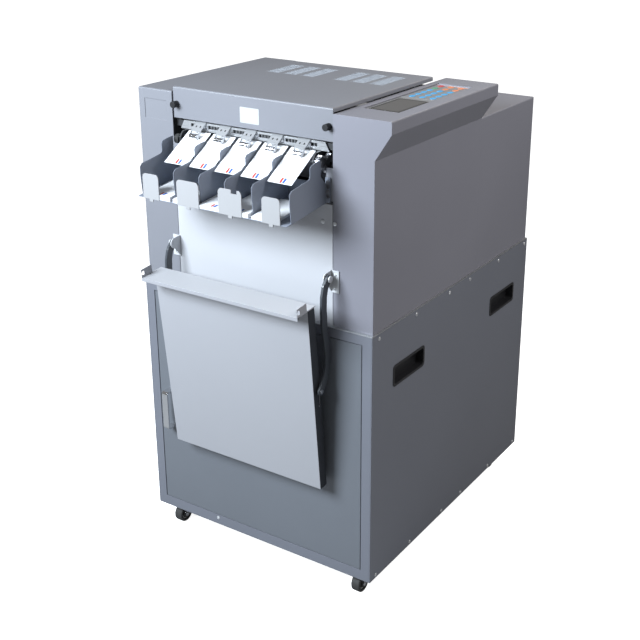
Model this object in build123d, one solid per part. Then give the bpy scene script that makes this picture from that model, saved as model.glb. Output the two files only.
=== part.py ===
"""Business card cutter: an office machine on a wheeled cabinet.

Working frame: X from the middle plane, Y rearwards from the cabinet front,
Z up from the floor.  Every piece is moved at the end so that the origin is
the middle of the footprint, at floor level.
"""
from build123d import *
import math
import os

os.makedirs("parts", exist_ok=True)

# Whole machine
half_width = 280.0
depth = 690.0
ground_gap = 50.0
cabinet_height = 540.0
body_height = 332.0
tower_rise = 74.0
lid_rise = 83.0
body_inset = 4.0
face_inset = 8.0
tower_depth = 419.0
sheet = 2.0
thin_sheet = 1.5
overrun = 1.0
flat_gap = 0.5
running_fit = 0.05

# Cabinet
stile = 22.0
bottom_rail = 23.0
top_rail = 21.0
frame_return = 18.0
chute_half = 160.0
chute_front = 100.0
chute_rear = 300.0

# Door, its pins and its handle
door_gap = 1.5
door_sheet = 1.2
door_fold = 18.0
door_pin_radius = 1.75
door_pin_inset = 3.1
door_pin_length = 11.0
handle_low = 261.0
handle_high = 350.0
handle_outer = 231.0
handle_inner = 216.0
handle_reach = 25.0
handle_gauge = 3.0

# Side pulls
pull_low = 458.0
pull_high = 498.0
pull_starts = (80.6, 505.0)
pull_length = 118.0
pull_deep = 18.0
pull_rim = 3.0
pull_proud = 1.0
pull_corner = 8.0

# Casters
caster_side = 238.0
caster_inset = 48.0
caster_plate_size = 56.0
caster_plate = 3.0
race_radius = 14.0
wheel_radius = 20.0
wheel_width = 20.0
hub_radius = 9.0
axle_radius = 3.0
trail = 18.0
fork_gauge = 2.0
fork_gap = 0.8
crown_lift = 1.0
kingpin_radius = 4.0
wheel_edge = 3.0

# Waste bin
bin_half = 165.0
bin_foot_half = 150.0
bin_front = 70.0
bin_length = 420.0
bin_height = 330.0
bin_wall = 2.5
bin_taper = 15.0

# Towers and control pod
tower_inner = 188.0
pod_outer = 309.6
pod_face = 23.0
edge_round = 3.0
panel_emboss = 0.8
emboss_left = 259.5
emboss_right = 203.0
emboss_low = 936.0
emboss_high = 975.0

# Control panel
panel_left = 206.0
panel_right = 281.0
panel_front = 80.0
panel_rear = 365.0
panel_lap = 3.0
window_left = 214.5
window_right = 279.5
window_front = 83.5
window_rear = 195.0
window_gauge = 1.5
key_columns = 3
key_rows = 6
key_first_x = 222.0
key_pitch_x = 22.5
key_first_y = 231.5
key_pitch_y = 22.8
key_length = 16.0
key_width = 11.0
key_rise = 0.6

# Lid
lid_half = 186.5
lid_front = 11.0
lid_back = 49.5
lid_hem = 8.0
apron_drop = 61.0
hinge_back = 4.5
hinge_drop = 7.0
knuckle_radius = 4.0
hinge_pin_radius = 2.0
hinge_x = 120.0
knuckle_width = 20.0
leaf_reach = 40.0
leaf_gauge = 2.5
vent_length = 98.0
vent_back = 137.5
vent_starts = (-135.0, -91.5, -48.0, 31.0, 73.0, 115.0)
vent_width = 34.0
vent_slots = 14
vent_border = 2.5
vent_bar_share = 0.4
thumb_x = 178.0
thumb_z = 971.5
thumb_radius = 6.5
thumb_length = 14.0
thumb_grooves = 12
thumb_groove = 0.7
thumb_stud_radius = 3.0
thumb_stud_length = 2.0
tab_play = 0.3
tab_width = 14.0
tab_gap = 1.5

# Front light panel
panel_half = 187.0
panel_top = 827.7
panel_fold = 12.0
front_tie_low = 780.0
front_tie_high = 804.0
front_tie_gauge = 4.5

# Inner frame
frame_gauge = 4.0
frame_rear = 686.0
frame_top = 956.0
frame_notch_low = 930.0
frame_step_back = 3.0
table_level = 914.0
frame_window_front = 130.0
frame_window_rear = 290.0
frame_window_low = 640.0
frame_window_high = 860.0
frame_window_round = 20.0
tie_front = 20.0
tie_depth = 12.0
tie_low = 926.0
rear_tie_low = 700.0
rear_tie_high = 760.0
rear_tie_front = 600.0
bridge_back = 41.0
bridge_low = 932.0
bridge_high = 985.0
bridge_ear = 24.0
bush_radius = 9.0

# Sheet path and drive
path_level = 916.2
cutter_y = 70.0
disc_radius = 22.5
disc_gauge = 3.0
disc_gap = 0.3
cutter_centres = 42.0
cutter_shaft_radius = 6.0
gear_module = 1.5
gear_backlash = 0.35
gear_width = 8.0
train_x = 162.0
mesh_x = 174.0
lower_teeth = 32
idler_teeth = 24
exit_teeth = 16
mesh_teeth = 28
pinion_teeth = 12
pinion_angle = 290.0
motor_radius = 28.0
motor_share = 0.8
motor_shaft_radius = 4.0
feed_y = 330.0
feed_radius = 16.0
pinch_radius = 10.0
feed_gap = 0.4
feed_shaft_radius = 6.0
feed_half = 165.0
feed_motor_half = 21.0
feed_motor_share = 0.54

# Five card lanes and the exit nip
lanes = 5
lane_pitch = 61.0
lane_strip = 7.0
card_length = 90.0
card_gauge = 0.3
card_ahead_share = 0.792
exit_y = -0.8
exit_z = 906.2
exit_shaft_radius = 4.0
tyre_radius = 8.0
tyre_width = 17.0
nip_radius = 5.5
nip_half = 8.5
nip_split = 1.0
nip_angle = 31.7
nip_pin_radius = 1.6
nip_ease = 0.1
knob_radius = 9.5
knob_start = 162.0
knob_end = 171.5
knob_grooves = 16
knob_groove = 0.8
knob_cap_radius = 7.0
exit_end = 172.0
cheek_x = 155.0
cheek_gauge = 3.0
cheek_front = -9.0
cheek_rear = 34.0
cheek_low = 893.0
cheek_notch = 923.0

# Guide bar and nip brackets
bar_half = 175.0
bar_low = 923.5
bar_top = 938.6
bar_y = 16.0
bar_gauge = 1.5
bar_slant = 9.0
bar_rib = 0.7
bar_window_high = 936.0
bar_window_low = 929.5
bar_windows = 4
bracket_gauge = 1.4
bracket_half = 12.5
bracket_flange = 14.0
bracket_tip_y = -3.0
bracket_tip_z = 926.5
bracket_round = 10.0
ear_gauge = 1.4
ear_inner = 9.6
ear_radius = 4.0
lane_screw = 9.5
small_screw_radius = 2.6
small_screw_head = 1.4

# Crosscut
blade_y = 38.0
blade_gauge = 3.0
blade_half = 160.0
blade_low = 921.0
blade_high = 950.0
blade_ear_low = 936.0
blade_ear_end = 185.0
shear_gap = 0.3
bed_gauge = 3.7
bed_low = 860.0
bed_step = 880.0
bed_top = 915.4
post_half_depth = 4.5
post_start = 180.0
post_low = 905.0
post_high = 956.0

# Feed table and side guides
table_front = 400.0
table_gauge = 2.0
well_half = 186.5
slot_y = 560.0
guide_at = 160.0
guide_front = 450.0
guide_length = 200.0
guide_gauge = 2.0
guide_high = 16.0
guide_base = 22.0
guide_travel = 55.0
peg_offset = 6.0
peg_radius = 3.5
peg_drop = 5.0
peg_play = 0.5
table_flange = 10.0

# Catch tray
outer_wall = 174.2
wall_gauge = 1.2
tray_floor_front = -115.0
tray_floor_rear = 5.0
floor_front_z = 817.6
floor_rear_z = 831.4
floor_gauge = 1.5
back_gauge = 1.5
back_high = 866.0
flange_out = 184.0
flange_high = 879.0
stud_x = 179.0
stud_levels = (852.0, 870.0)
stud_radius = 2.5
stud_head = 4.0
stud_head_gauge = 1.2
stud_play = 0.3
tray_lift = 8.0
wall_outline = ((-11.0, 913.0), (-24.7, 912.4), (-40.2, 909.5), (-44.2, 905.3), (-43.8, 893.7),
                (-45.1, 887.6), (-50.6, 885.1), (-75.4, 881.4), (-100.8, 878.2), (-106.8, 872.1),
                (-106.8, 856.9), (-104.5, 830.8))
wall_rear_knee = 884.0
stop_gauge = 1.5
stop_high = 865.0
stop_foot = 5.0
stop_foot_width = 9.0
stop_spans = ((-159.5, -120.5), (-76.0, -24.0), (22.0, 75.0), (120.0, 159.5))
stop_round = 8.0
notch_width = 13.0
notch_deep = 7.0
notch_x = 58.5
notched_stop = 2
stack_heights = (9.0, 7.0, 6.0, 8.0, 5.0)

# Hanger rails
rail_inner = 173.0
rail_low = 834.0
rail_high = 896.0
rail_return = 20.0

# Receiving tray
pan_half = 184.7
pan_low_z = 252.5
pan_low_y = -33.3
pan_high_z = 647.0
pan_high_y = -72.0
pan_deep = 21.5
pan_gauge = 1.5
lip_half = 187.5
lip_reach = 35.4
lip_hem = 6.0
pin_y = -38.7
pin_z = 471.0
pin_radius = 2.2
pin_play = 0.1
slot_drop = 32.0
hook_length = 30.0
hook_high = 17.0
hook_gauge = 1.5

# Tray arms and their brackets
arm_start = 186.5
arm_gauge = 5.0
arm_half = 8.0
arm_pivot_y = -10.0
arm_pivot_z = 690.0
arm_path = ((-21.0, 677.0), (-26.0, 659.0), (-27.0, 630.0), (-24.5, 598.0), (-18.5, 565.0), (-14.5, 540.0),
            (-15.0, 519.0), (-20.5, 500.0), (-29.5, 484.0))
arm_pin_radius = 4.0
arm_bracket_low = 658.0
arm_bracket_high = 702.0
arm_bracket_inner = 184.0
arm_bracket_outer = 202.0
arm_bracket_gauge = 2.0
arm_ear_front = -21.0
pivot_head_radius = 6.5
pivot_head = 3.0

# Screws, inlet and board
screw_radius = 4.0
screw_head = 1.6
panel_screw_x = 165.5
panel_screw_z = 792.5
strip_screw_x = 192.0
frame_screw_x = 109.5
frame_screw_rise = 16.0
ear_screw_inset = 2.0
side_screw_rows = ((578.8, (24.6, 165.8, 304.6), (292.7, 153.2, 14.8)),
                   (57.5, (22.0, 160.0, 302.0), (296.0, 155.0, 15.3)))
inlet_z = 640.0
inlet_width = 28.0
inlet_height = 48.0
inlet_deep = 24.0
inlet_proud = 2.5
inlet_rim = 3.0
inlet_wall = 2.0
board_gauge = 1.6
board_y = 300.0
board_length = 110.0
board_low = 640.0
board_high = 780.0
board_standoff = 6.0
chip_rise = 9.0

# Levels and places worked out from the sizes above
underside = ground_gap
cabinet_top = underside + cabinet_height
low_top = cabinet_top + body_height
tower_top = low_top + tower_rise
lid_top = low_top + lid_rise
body_half = half_width - body_inset
front = face_inset
tower_rear = front + tower_depth
inner_half = half_width - sheet
opening_half = inner_half + sheet - stile
opening_low = underside + bottom_rail
opening_high = cabinet_top - top_rail
door_half = opening_half - door_gap
door_low = opening_low + door_gap
door_high = opening_high - door_gap
door_pin_x = door_half - door_pin_inset
door_pin_y = door_pin_inset
frame_inner = tower_inner
frame_outer = frame_inner + frame_gauge
bay_outer = body_half - sheet
bay_width = bay_outer - frame_outer
motor_length = bay_width * motor_share
feed_motor_length = bay_width * feed_motor_share
inlet_x = -(frame_outer + bay_outer) / 2
lower_z = path_level - cutter_centres / 2
upper_z = lower_z + cutter_centres
feed_z = path_level - feed_radius
pinch_z = path_level + feed_gap + pinch_radius
lid_rear = tower_rear - lid_back
vent_front = lid_rear - vent_back
bridge_front = tower_rear - bridge_back
frame_step = tower_rear - frame_step_back
hinge_y = lid_rear + hinge_back
hinge_z = lid_top - hinge_drop
nip_reach = tyre_radius + nip_radius + card_gauge + nip_ease
nip_y = exit_y - nip_reach * math.sin(math.radians(nip_angle))
nip_z = exit_z + nip_reach * math.cos(math.radians(nip_angle))
lane_places = [(lane - (lanes - 1) / 2) * lane_pitch for lane in range(lanes)]
card_width = lane_pitch - lane_strip
wall_places = (lane_pitch / 2, 3 * lane_pitch / 2, outer_wall)
slit_places = [place + side * card_width / 2 for place in lane_places for side in (-1, 1)]


def slab(x, y, z):
    """Box between three pairs of limits."""
    spans = (x, y, z)
    middle = [(low + high) / 2 for low, high in spans]
    size = [high - low for low, high in spans]
    return Pos(*middle) * Box(*size)


def square(half):
    """Pair of limits either side of the middle plane."""
    return (-half, half)


def round_bar(axis, place, span, radius):
    """Round bar along an axis, at its other two coordinates."""
    middle = (span[0] + span[1]) / 2
    bar = Cylinder(radius, span[1] - span[0])
    first, second = place
    if axis == "X":
        return Pos(middle, first, second) * Rot(Y=90) * bar
    if axis == "Y":
        return Pos(first, middle, second) * Rot(X=90) * bar
    return Pos(first, second, middle) * bar


def tube(axis, place, span, outer, inner):
    """Round bar with a bore through it."""
    bore = (span[0] - overrun, span[1] + overrun)
    return round_bar(axis, place, span, outer) - round_bar(axis, place, bore, inner)


def side_plate(points, start, end):
    """Outline of (y, z) points, from one X place to another."""
    face = Plane.YZ * make_face(Polyline(*points, close=True))
    return Pos(start, 0, 0) * extrude(face, end - start)


def front_plate(points, start, end):
    """Outline of (x, z) points, from one Y place to another."""
    face = Plane.XZ * make_face(Polyline(*points, close=True))
    return Pos(0, end, 0) * extrude(face, end - start)


def mirrored(shape):
    """Piece on the right and its mirror image on the left."""
    return [shape, shape.mirror(Plane.YZ)]


def at(offset, limits):
    """Pair of limits moved along."""
    return (limits[0] + offset, limits[1] + offset)


left_reach = half_width + screw_head
front_reach = -tray_floor_front + stop_gauge
rear_reach = depth + inlet_proud
middle_x = (pod_outer - left_reach) / 2
middle_y = (rear_reach - front_reach) / 2
to_origin = Pos(-middle_x, -middle_y, 0)
node_names = []


def keep(name, *shapes):
    """Write a node, with its origin moved to the middle of the footprint."""
    solids = [solid for shape in shapes for solid in shape.solids()]
    moved = [to_origin * solid for solid in solids]
    export_step(moved[0] if len(moved) == 1 else Compound(children=moved), f"parts/{name}.step")
    node_names.append(name)


# Cabinet
wall_levels = (underside + sheet, cabinet_top - sheet)


def cabinet_shell():
    """Left side, back and right side folded from one sheet, with four pull openings."""
    shell = slab(square(half_width), (0, depth), wall_levels)
    shell -= slab(square(inner_half), (-overrun, depth - sheet), (underside, cabinet_top))
    for start in pull_starts:
        across = square(half_width + overrun)
        shell -= slab(across, (start, start + pull_length), (pull_low, pull_high))
    return shell


def cabinet_frame():
    """Front frame with folded returns round the opening, and the two pins of the door."""
    folded = sheet + frame_return
    face = slab(square(inner_half), (0, sheet), wall_levels)
    returns = slab(square(opening_half + sheet), (0, folded), (opening_low - sheet, opening_high + sheet))
    opening = slab(square(opening_half), (-overrun, folded + overrun), (opening_low, opening_high))
    frame = face + returns - opening
    for span in ((opening_low, opening_low + door_pin_length), (opening_high - door_pin_length, opening_high)):
        frame += round_bar("Z", (door_pin_x, door_pin_y), span, door_pin_radius)
    return frame


def cabinet_deck():
    """Top plate of the cabinet, open under the cutters."""
    deck = slab(square(half_width), (0, depth), (wall_levels[1], cabinet_top))
    return deck - slab(square(chute_half), (chute_front, chute_rear), (wall_levels[0], cabinet_top + overrun))


def cabinet_door():
    """Folded door pan, pierced top and bottom for its pins."""
    pan = slab(square(door_half), (0, door_fold), (door_low, door_high))
    pan = fillet(pan.edges().filter_by(Axis.Z).sort_by(Axis.Y)[:2], door_sheet)
    inside = (door_low + door_sheet, door_high - door_sheet)
    pan -= slab(square(door_half - door_sheet), (door_sheet, door_fold + overrun), inside)
    drilled = (door_low - overrun, door_high + overrun)
    return pan - round_bar("Z", (door_pin_x, door_pin_y), drilled, door_pin_radius + pin_play)


def door_handle():
    """Bent bright pull on the free side of the door."""
    width = (-handle_outer, -handle_inner)
    grip = slab(width, (-handle_reach, 0), (handle_low, handle_high))
    grip = fillet(grip.edges().filter_by(Axis.X).sort_by(Axis.Y)[:2], handle_gauge * 2)
    fingers = (handle_low + handle_gauge, handle_high - handle_gauge)
    across = (-handle_outer - overrun, -handle_inner + overrun)
    gap = slab(across, (handle_gauge - handle_reach, overrun), fingers)
    return grip - fillet(gap.edges().filter_by(Axis.X).sort_by(Axis.Y)[:2], handle_gauge)


def side_pull(start):
    """Recessed cup with a rim that lies on the cabinet side."""
    cup_y = (start, start + pull_length)
    rim_y = (start - pull_rim, start + pull_length + pull_rim)
    rim = slab((half_width, half_width + pull_proud), rim_y, (pull_low - pull_rim, pull_high + pull_rim))
    rim = fillet(rim.edges().filter_by(Axis.X), pull_corner)
    cup = slab((half_width - pull_deep, half_width), cup_y, (pull_low, pull_high))
    hollow_x = (half_width - pull_deep + sheet, half_width + pull_proud + overrun)
    hollow_y = (start + sheet, start + pull_length - sheet)
    hollow = slab(hollow_x, hollow_y, (pull_low + sheet, pull_high - sheet))
    return rim + cup - fillet(hollow.edges().filter_by(Axis.X), pull_corner - sheet)


def waste_bin():
    """Tapered open bin that stands on the cabinet floor."""
    floor = underside + sheet
    middle = bin_front + bin_length / 2

    def taper(inset, low, high):
        foot = Rectangle(2 * (bin_foot_half - inset), bin_length - 2 * (bin_taper + inset))
        rim = Rectangle(2 * (bin_half - inset), bin_length - 2 * inset)
        return loft([Pos(0, middle, low) * foot, Pos(0, middle, high) * rim])

    return taper(0, floor, floor + bin_height) - taper(bin_wall, floor + bin_wall, floor + bin_height + overrun)


# Casters
crown_low = 2 * wheel_radius + crown_lift
crown_high = crown_low + fork_gauge
race_low = crown_high + flat_gap
fork_half = wheel_width / 2 + fork_gap
caster_names = ("front_left", "front_right", "rear_left", "rear_right")
caster_places = [(side * caster_side, y) for y in (caster_inset, depth - caster_inset) for side in (-1, 1)]


def caster_plate_at(x, y):
    """Fixed plate with its bearing race and kingpin."""
    half = caster_plate_size / 2
    top = slab(at(x, square(half)), at(y, square(half)), (underside - caster_plate, underside))
    race = round_bar("Z", (x, y), (race_low, underside - caster_plate), race_radius)
    return top + race + round_bar("Z", (x, y), (crown_low, race_low), kingpin_radius)


def caster_fork(x, y):
    """Swivelling fork with its axle."""
    axle_y = y - trail
    boss = 2 * axle_radius
    outer = fork_half + fork_gauge
    crown = slab(at(x, square(outer)), (y - race_radius, y + race_radius), (crown_low, crown_high))
    crown = fillet(crown.edges().filter_by(Axis.Z), fork_gauge * 2)
    fork = crown
    for side in (-1, 1):
        outline = ((y - race_radius, crown_high), (y + race_radius / 2, crown_high),
                   (axle_y + boss, wheel_radius), (axle_y - boss, wheel_radius))
        limits = sorted((x + side * fork_half, x + side * outer))
        fork += side_plate(outline, *limits)
        fork += round_bar("X", (axle_y, wheel_radius), limits, boss)
    fork -= round_bar("Z", (x, y), (wheel_radius, race_low), kingpin_radius + running_fit)
    return fork + round_bar("X", (axle_y, wheel_radius), at(x, square(outer + axle_radius / 2)), axle_radius)


def caster_wheel(x, y):
    """Rounded tread on a hub, bored for the axle."""
    place = (y - trail, wheel_radius)
    tread = round_bar("X", place, at(x, square(wheel_width / 2)), wheel_radius)
    tread = fillet(tread.edges(), wheel_edge)
    for side in (-1, 1):
        rim = sorted((x + side * (wheel_width / 2 - wheel_edge), x + side * (wheel_width / 2 + overrun)))
        tread -= tube("X", place, rim, wheel_radius - 2 * wheel_edge, hub_radius)
    return tread - round_bar("X", place, at(x, square(wheel_width)), axle_radius + running_fit)


# Covers
def cleared(cover, side):
    """Take away the inner wall beside the frame and the rear wall below the rear cover."""
    inner = sorted((side * (tower_inner - overrun), side * (tower_inner + sheet)))
    low = cabinet_top - overrun
    cover -= slab(inner, (front + sheet, tower_rear + overrun), (low, frame_top + flat_gap))
    outer = sorted((side * (tower_inner - overrun), side * (body_half - sheet)))
    return cover - slab(outer, (tower_rear - sheet, tower_rear + overrun), (low, low_top))


def left_cover():
    """Left tower: a folded box with a shallow pressed panel on its front."""
    cover = slab((-body_half, -tower_inner), (front, tower_rear), (cabinet_top, tower_top))
    rounded = cover.faces().sort_by(Axis.Z)[-1].edges() + cover.edges().filter_by(Axis.Z).sort_by(Axis.Y)[:1]
    cover = fillet(rounded, edge_round)
    cover -= slab((sheet - body_half, -tower_inner - sheet), (front + sheet, tower_rear - sheet),
                  (cabinet_top - overrun, tower_top - sheet))
    cover -= slab((-emboss_left, -emboss_right), (front - overrun, front + panel_emboss),
                  (emboss_low, emboss_high))
    return cleared(cover, -1)


def right_cover():
    """Right tower, whose top leans out over the side to carry the control panel."""
    pod_z = tower_top - pod_face
    slope = (pod_z - low_top) / (pod_outer - body_half)
    lift = sheet * (math.hypot(1, slope) - slope)
    outline = ((tower_inner, cabinet_top), (body_half, cabinet_top), (body_half, low_top),
               (pod_outer, pod_z), (pod_outer, tower_top), (tower_inner, tower_top))
    cover = front_plate(outline, front, tower_rear)
    long_edges = cover.edges().filter_by(Axis.Y).sort_by(Axis.Z)[-3:]
    cover = fillet(long_edges, edge_round)
    hollow = ((tower_inner + sheet, cabinet_top - overrun), (body_half - sheet, cabinet_top - overrun),
              (body_half - sheet, low_top + lift), (pod_outer - sheet, pod_z + lift),
              (pod_outer - sheet, tower_top - sheet), (tower_inner + sheet, tower_top - sheet))
    cover -= front_plate(hollow, front + sheet, tower_rear - sheet)
    panel = slab((panel_left, panel_right), (panel_front, panel_rear),
                 (tower_top - sheet - overrun, tower_top + overrun))
    return cleared(cover - panel, 1)


def rear_cover():
    """Low rear cover, open along the middle for the sheets."""
    cover = slab(square(body_half), (tower_rear, depth), (cabinet_top, low_top))
    upright = cover.edges().filter_by(Axis.Z).sort_by(Axis.Y)[-2:]
    along = cover.edges().filter_by(Axis.Y).sort_by(Axis.Z)[-2:]
    cover = fillet(upright + along, edge_round)
    cover -= slab(square(body_half - sheet), (tower_rear - overrun, depth - sheet),
                  (cabinet_top - overrun, low_top - sheet))
    cover -= slab(square(well_half), (tower_rear - overrun, depth + overrun),
                  (table_level + table_gauge, low_top + overrun))
    half_width_hole = inlet_width / 2
    half_height_hole = inlet_height / 2
    hole_z = at(inlet_z, square(half_height_hole))
    return cover - slab(at(inlet_x, square(half_width_hole)), (depth - sheet - overrun, depth + overrun), hole_z)


def mains_inlet():
    """Appliance inlet with its rim on the rear cover and three contact pins."""
    half_x = inlet_width / 2
    half_z = inlet_height / 2
    rim = slab(at(inlet_x, square(half_x + inlet_rim)), (depth, rear_reach),
               at(inlet_z, square(half_z + inlet_rim)))
    body = slab(at(inlet_x, square(half_x)), (depth - inlet_deep, rear_reach), at(inlet_z, square(half_z)))
    hollow = slab(at(inlet_x, square(half_x - inlet_wall)), (depth - inlet_deep + inlet_wall, rear_reach + overrun),
                  at(inlet_z, square(half_z - inlet_wall)))
    inlet = fillet(rim.edges().filter_by(Axis.Y), inlet_rim) + body - hollow
    for step in (-1, 0, 1):
        blade_x = at(inlet_x, square(inlet_wall / 2))
        blade_z = at(inlet_z + step * half_z / 2, square(inlet_wall))
        inlet += slab(blade_x, (depth - inlet_deep, depth - inlet_wall), blade_z)
    return inlet


def front_panel():
    """Pale service panel below the exit, folded back along its top."""
    face = slab(square(panel_half), (front, front + thin_sheet), (cabinet_top, panel_top))
    fold = slab(square(panel_half), (front, front + panel_fold), (panel_top - thin_sheet, panel_top))
    return face + fold


# Control panel
def panel_bed():
    """Sheet under the opening of the control panel, which the film and the window lie on."""
    return (tower_top - sheet - thin_sheet, tower_top - sheet)


def keypad():
    """Film with raised oval keys and a bar of light at its rear, on a backing plate."""
    low, high = panel_bed()
    film = slab((panel_left - panel_lap, panel_right + panel_lap),
                (panel_front - panel_lap, panel_rear + panel_lap), (low, high))
    for column in range(key_columns):
        for row in range(key_rows):
            place = (key_first_x + column * key_pitch_x, key_first_y + row * key_pitch_y, high)
            film += Pos(*place) * extrude(SlotOverall(key_length, key_width, rotation=90), key_rise)
    bar_y_limits = (panel_rear - key_width, panel_rear - window_gauge)
    return film + slab((panel_left + window_gauge, panel_right - window_gauge), bar_y_limits, (high, high + key_rise))


def display_window():
    """Dark pane set on the film at the front of the control panel."""
    high = panel_bed()[1]
    pane = slab((window_left, window_right), (window_front, window_rear), (high, high + window_gauge))
    return fillet(pane.edges().filter_by(Axis.Z), window_gauge * 2)


# Lid
lid_under = lid_top - thin_sheet
hem_low = lid_top - lid_hem
knuckle_inner = hinge_x - knuckle_width / 2


def lid():
    """Bent lid with a deep front apron, short side hems, vent openings and hinge leaves."""
    cover = slab(square(lid_half), (lid_front, lid_rear), (hem_low, lid_top))
    long_edges = cover.edges().filter_by(Axis.Y).sort_by(Axis.Z)[-2:]
    front_edge = cover.edges().filter_by(Axis.X).sort_by(Axis.Z)[-2:].sort_by(Axis.Y)[:1]
    cover = fillet(long_edges + front_edge, edge_round)
    cover -= slab(square(lid_half - thin_sheet), (lid_front + thin_sheet, lid_rear + overrun),
                  (hem_low - overrun, lid_under))
    cover += slab(square(lid_half), (lid_front, lid_front + thin_sheet), (lid_top - apron_drop, hem_low))
    for start in vent_starts:
        cover -= slab((start, start + vent_width), (vent_front, vent_front + vent_length),
                      (hem_low, lid_top + overrun))
    for side in (-1, 1):
        stud = thumb_stud_radius + pin_play
        cover -= round_bar("Y", (side * thumb_x, thumb_z), (lid_front - overrun, lid_front + sheet), stud)
        knuckle = sorted((side * knuckle_inner, side * (hinge_x - pin_play)))
        cover += slab(knuckle, (lid_rear - leaf_reach, hinge_y), (lid_under - leaf_gauge, lid_under))
        cover += round_bar("X", (hinge_y, hinge_z), knuckle, knuckle_radius)
        cover -= round_bar("X", (hinge_y, hinge_z), knuckle, hinge_pin_radius + running_fit)
    return cover


def lid_vent(start):
    """Slotted pale insert that fills one vent opening."""
    grille = slab((start, start + vent_width), (vent_front, vent_front + vent_length), (lid_under, lid_top))
    pitch = (vent_length - 2 * vent_border) / vent_slots
    across = (start + vent_border, start + vent_width - vent_border)
    for slot in range(vent_slots):
        low = vent_front + vent_border + (slot + vent_bar_share / 2) * pitch
        grille -= slab(across, (low, low + pitch * (1 - vent_bar_share)), (lid_under - overrun, lid_top + overrun))
    return grille


def lid_bridge():
    """Cross member over the sheet path, with the fixed knuckles and pins of the lid."""
    ear_levels = (bridge_low, bridge_low + bridge_ear)
    bridge = slab(square(well_half), (bridge_front, bridge_front + sheet), (bridge_low, bridge_high))
    bridge += slab(square(frame_inner), (bridge_front, bridge_front + sheet), ear_levels)
    for side in (-1, 1):
        bridge += slab(sorted((side * (frame_inner - sheet), side * frame_inner)),
                       (bridge_front, bridge_front + bridge_ear), ear_levels)
        knuckle = sorted((side * hinge_x, side * (hinge_x + knuckle_width / 2)))
        arm = ((hinge_y - knuckle_radius, hinge_z), (bridge_front, bridge_high - knuckle_radius),
               (bridge_front + sheet, bridge_high - knuckle_radius), (hinge_y + knuckle_radius, hinge_z))
        bridge += side_plate(arm, *knuckle)
        bridge += round_bar("X", (hinge_y, hinge_z), knuckle, knuckle_radius)
        pin = sorted((side * knuckle_inner, side * (hinge_x + knuckle_width / 2)))
        bridge += round_bar("X", (hinge_y, hinge_z), pin, hinge_pin_radius)
    return bridge


def thumbscrew(x):
    """Knurled head in front of the apron, with its stud through the apron."""
    place = (x, thumb_z)
    head = round_bar("Y", place, (lid_front - thumb_length, lid_front), thumb_radius)
    head = chamfer(head.edges(), thumb_groove)
    for groove in range(thumb_grooves):
        angle = 2 * math.pi * groove / thumb_grooves
        groove_x = x + thumb_radius * math.cos(angle)
        groove_z = thumb_z + thumb_radius * math.sin(angle)
        cut = (lid_front - thumb_length - overrun, lid_front - 2 * sheet)
        head -= round_bar("Y", (groove_x, groove_z), cut, thumb_groove)
    return head + round_bar("Y", place, (lid_front, lid_front + thumb_stud_length), thumb_stud_radius)


# Inner frame
tab_front = lid_front + thin_sheet + tab_gap
shaft_places = ((cutter_y, lower_z), (cutter_y, upper_z), (feed_y, feed_z), (feed_y, pinch_z))


def gear_place(start, start_radius, end, end_radius, middle_radius):
    """Centre, below the line of centres, of a gear that meshes with both others."""
    gap = math.dist(start, end)
    first = start_radius + middle_radius
    second = middle_radius + end_radius
    along = (gap ** 2 + first ** 2 - second ** 2) / (2 * gap)
    across = math.sqrt(first ** 2 - along ** 2)
    step = ((end[0] - start[0]) / gap, (end[1] - start[1]) / gap)
    return (start[0] + along * step[0] - across * step[1], start[1] + along * step[1] + across * step[0])


lower_place = (cutter_y, lower_z)
upper_place = (cutter_y, upper_z)
exit_place = (exit_y, exit_z)
lower_pitch = gear_module * lower_teeth / 2
idler_pitch = gear_module * idler_teeth / 2
exit_pitch = gear_module * exit_teeth / 2
pinion_pitch = gear_module * pinion_teeth / 2
idler_place = gear_place(lower_place, lower_pitch, exit_place, exit_pitch, idler_pitch)
pinion_turn = math.radians(pinion_angle)
pinion_reach = lower_pitch + pinion_pitch
pinion_place = (cutter_y + pinion_reach * math.cos(pinion_turn), lower_z + pinion_reach * math.sin(pinion_turn))


def side_frame():
    """Right inner side plate, notched behind the lid's apron, with a window and seats for the bushes."""
    outline = ((front + sheet, cabinet_top), (front + sheet, frame_notch_low), (tab_front, frame_notch_low),
               (tab_front, frame_top), (frame_step, frame_top),
               (frame_step, table_level), (frame_rear, table_level), (frame_rear, cabinet_top))
    plate = side_plate(outline, frame_inner, frame_outer)
    window = slab((frame_inner - overrun, frame_outer + overrun), (frame_window_front, frame_window_rear),
                  (frame_window_low, frame_window_high))
    plate -= fillet(window.edges().filter_by(Axis.X), frame_window_round)
    for place in shaft_places:
        plate -= round_bar("X", place, (frame_inner - overrun, frame_outer + overrun), bush_radius)
    return plate


def lid_tab():
    """Tab behind the apron, open at its top for the stud of the thumbscrew."""
    levels = (frame_top - tab_width, thumb_z + thumb_stud_radius + tab_play)
    play = thumb_stud_radius + tab_play
    through = (tab_front - overrun, tab_front + sheet + overrun)
    tab = slab((frame_inner - tab_width - sheet, frame_inner), (tab_front, tab_front + sheet), levels)
    tab -= round_bar("Y", (thumb_x, thumb_z), through, play)
    return tab - slab(at(thumb_x, square(play)), through,
                      (thumb_z, levels[1] + overrun))


def cheek():
    """Right bearing plate of the exit shaft, hung under the top tie."""
    outline = ((cheek_front, cheek_low), (cheek_front, exit_z + knob_cap_radius), (exit_y, cheek_notch),
               (tie_front, cheek_notch), (tie_front, tie_low), (cheek_rear, tie_low), (cheek_rear, cheek_low))
    plate = side_plate(outline, cheek_x, cheek_x + cheek_gauge)
    bore = exit_shaft_radius + running_fit
    return plate - round_bar("X", exit_place, (cheek_x - overrun, cheek_x + cheek_gauge + overrun), bore)


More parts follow.
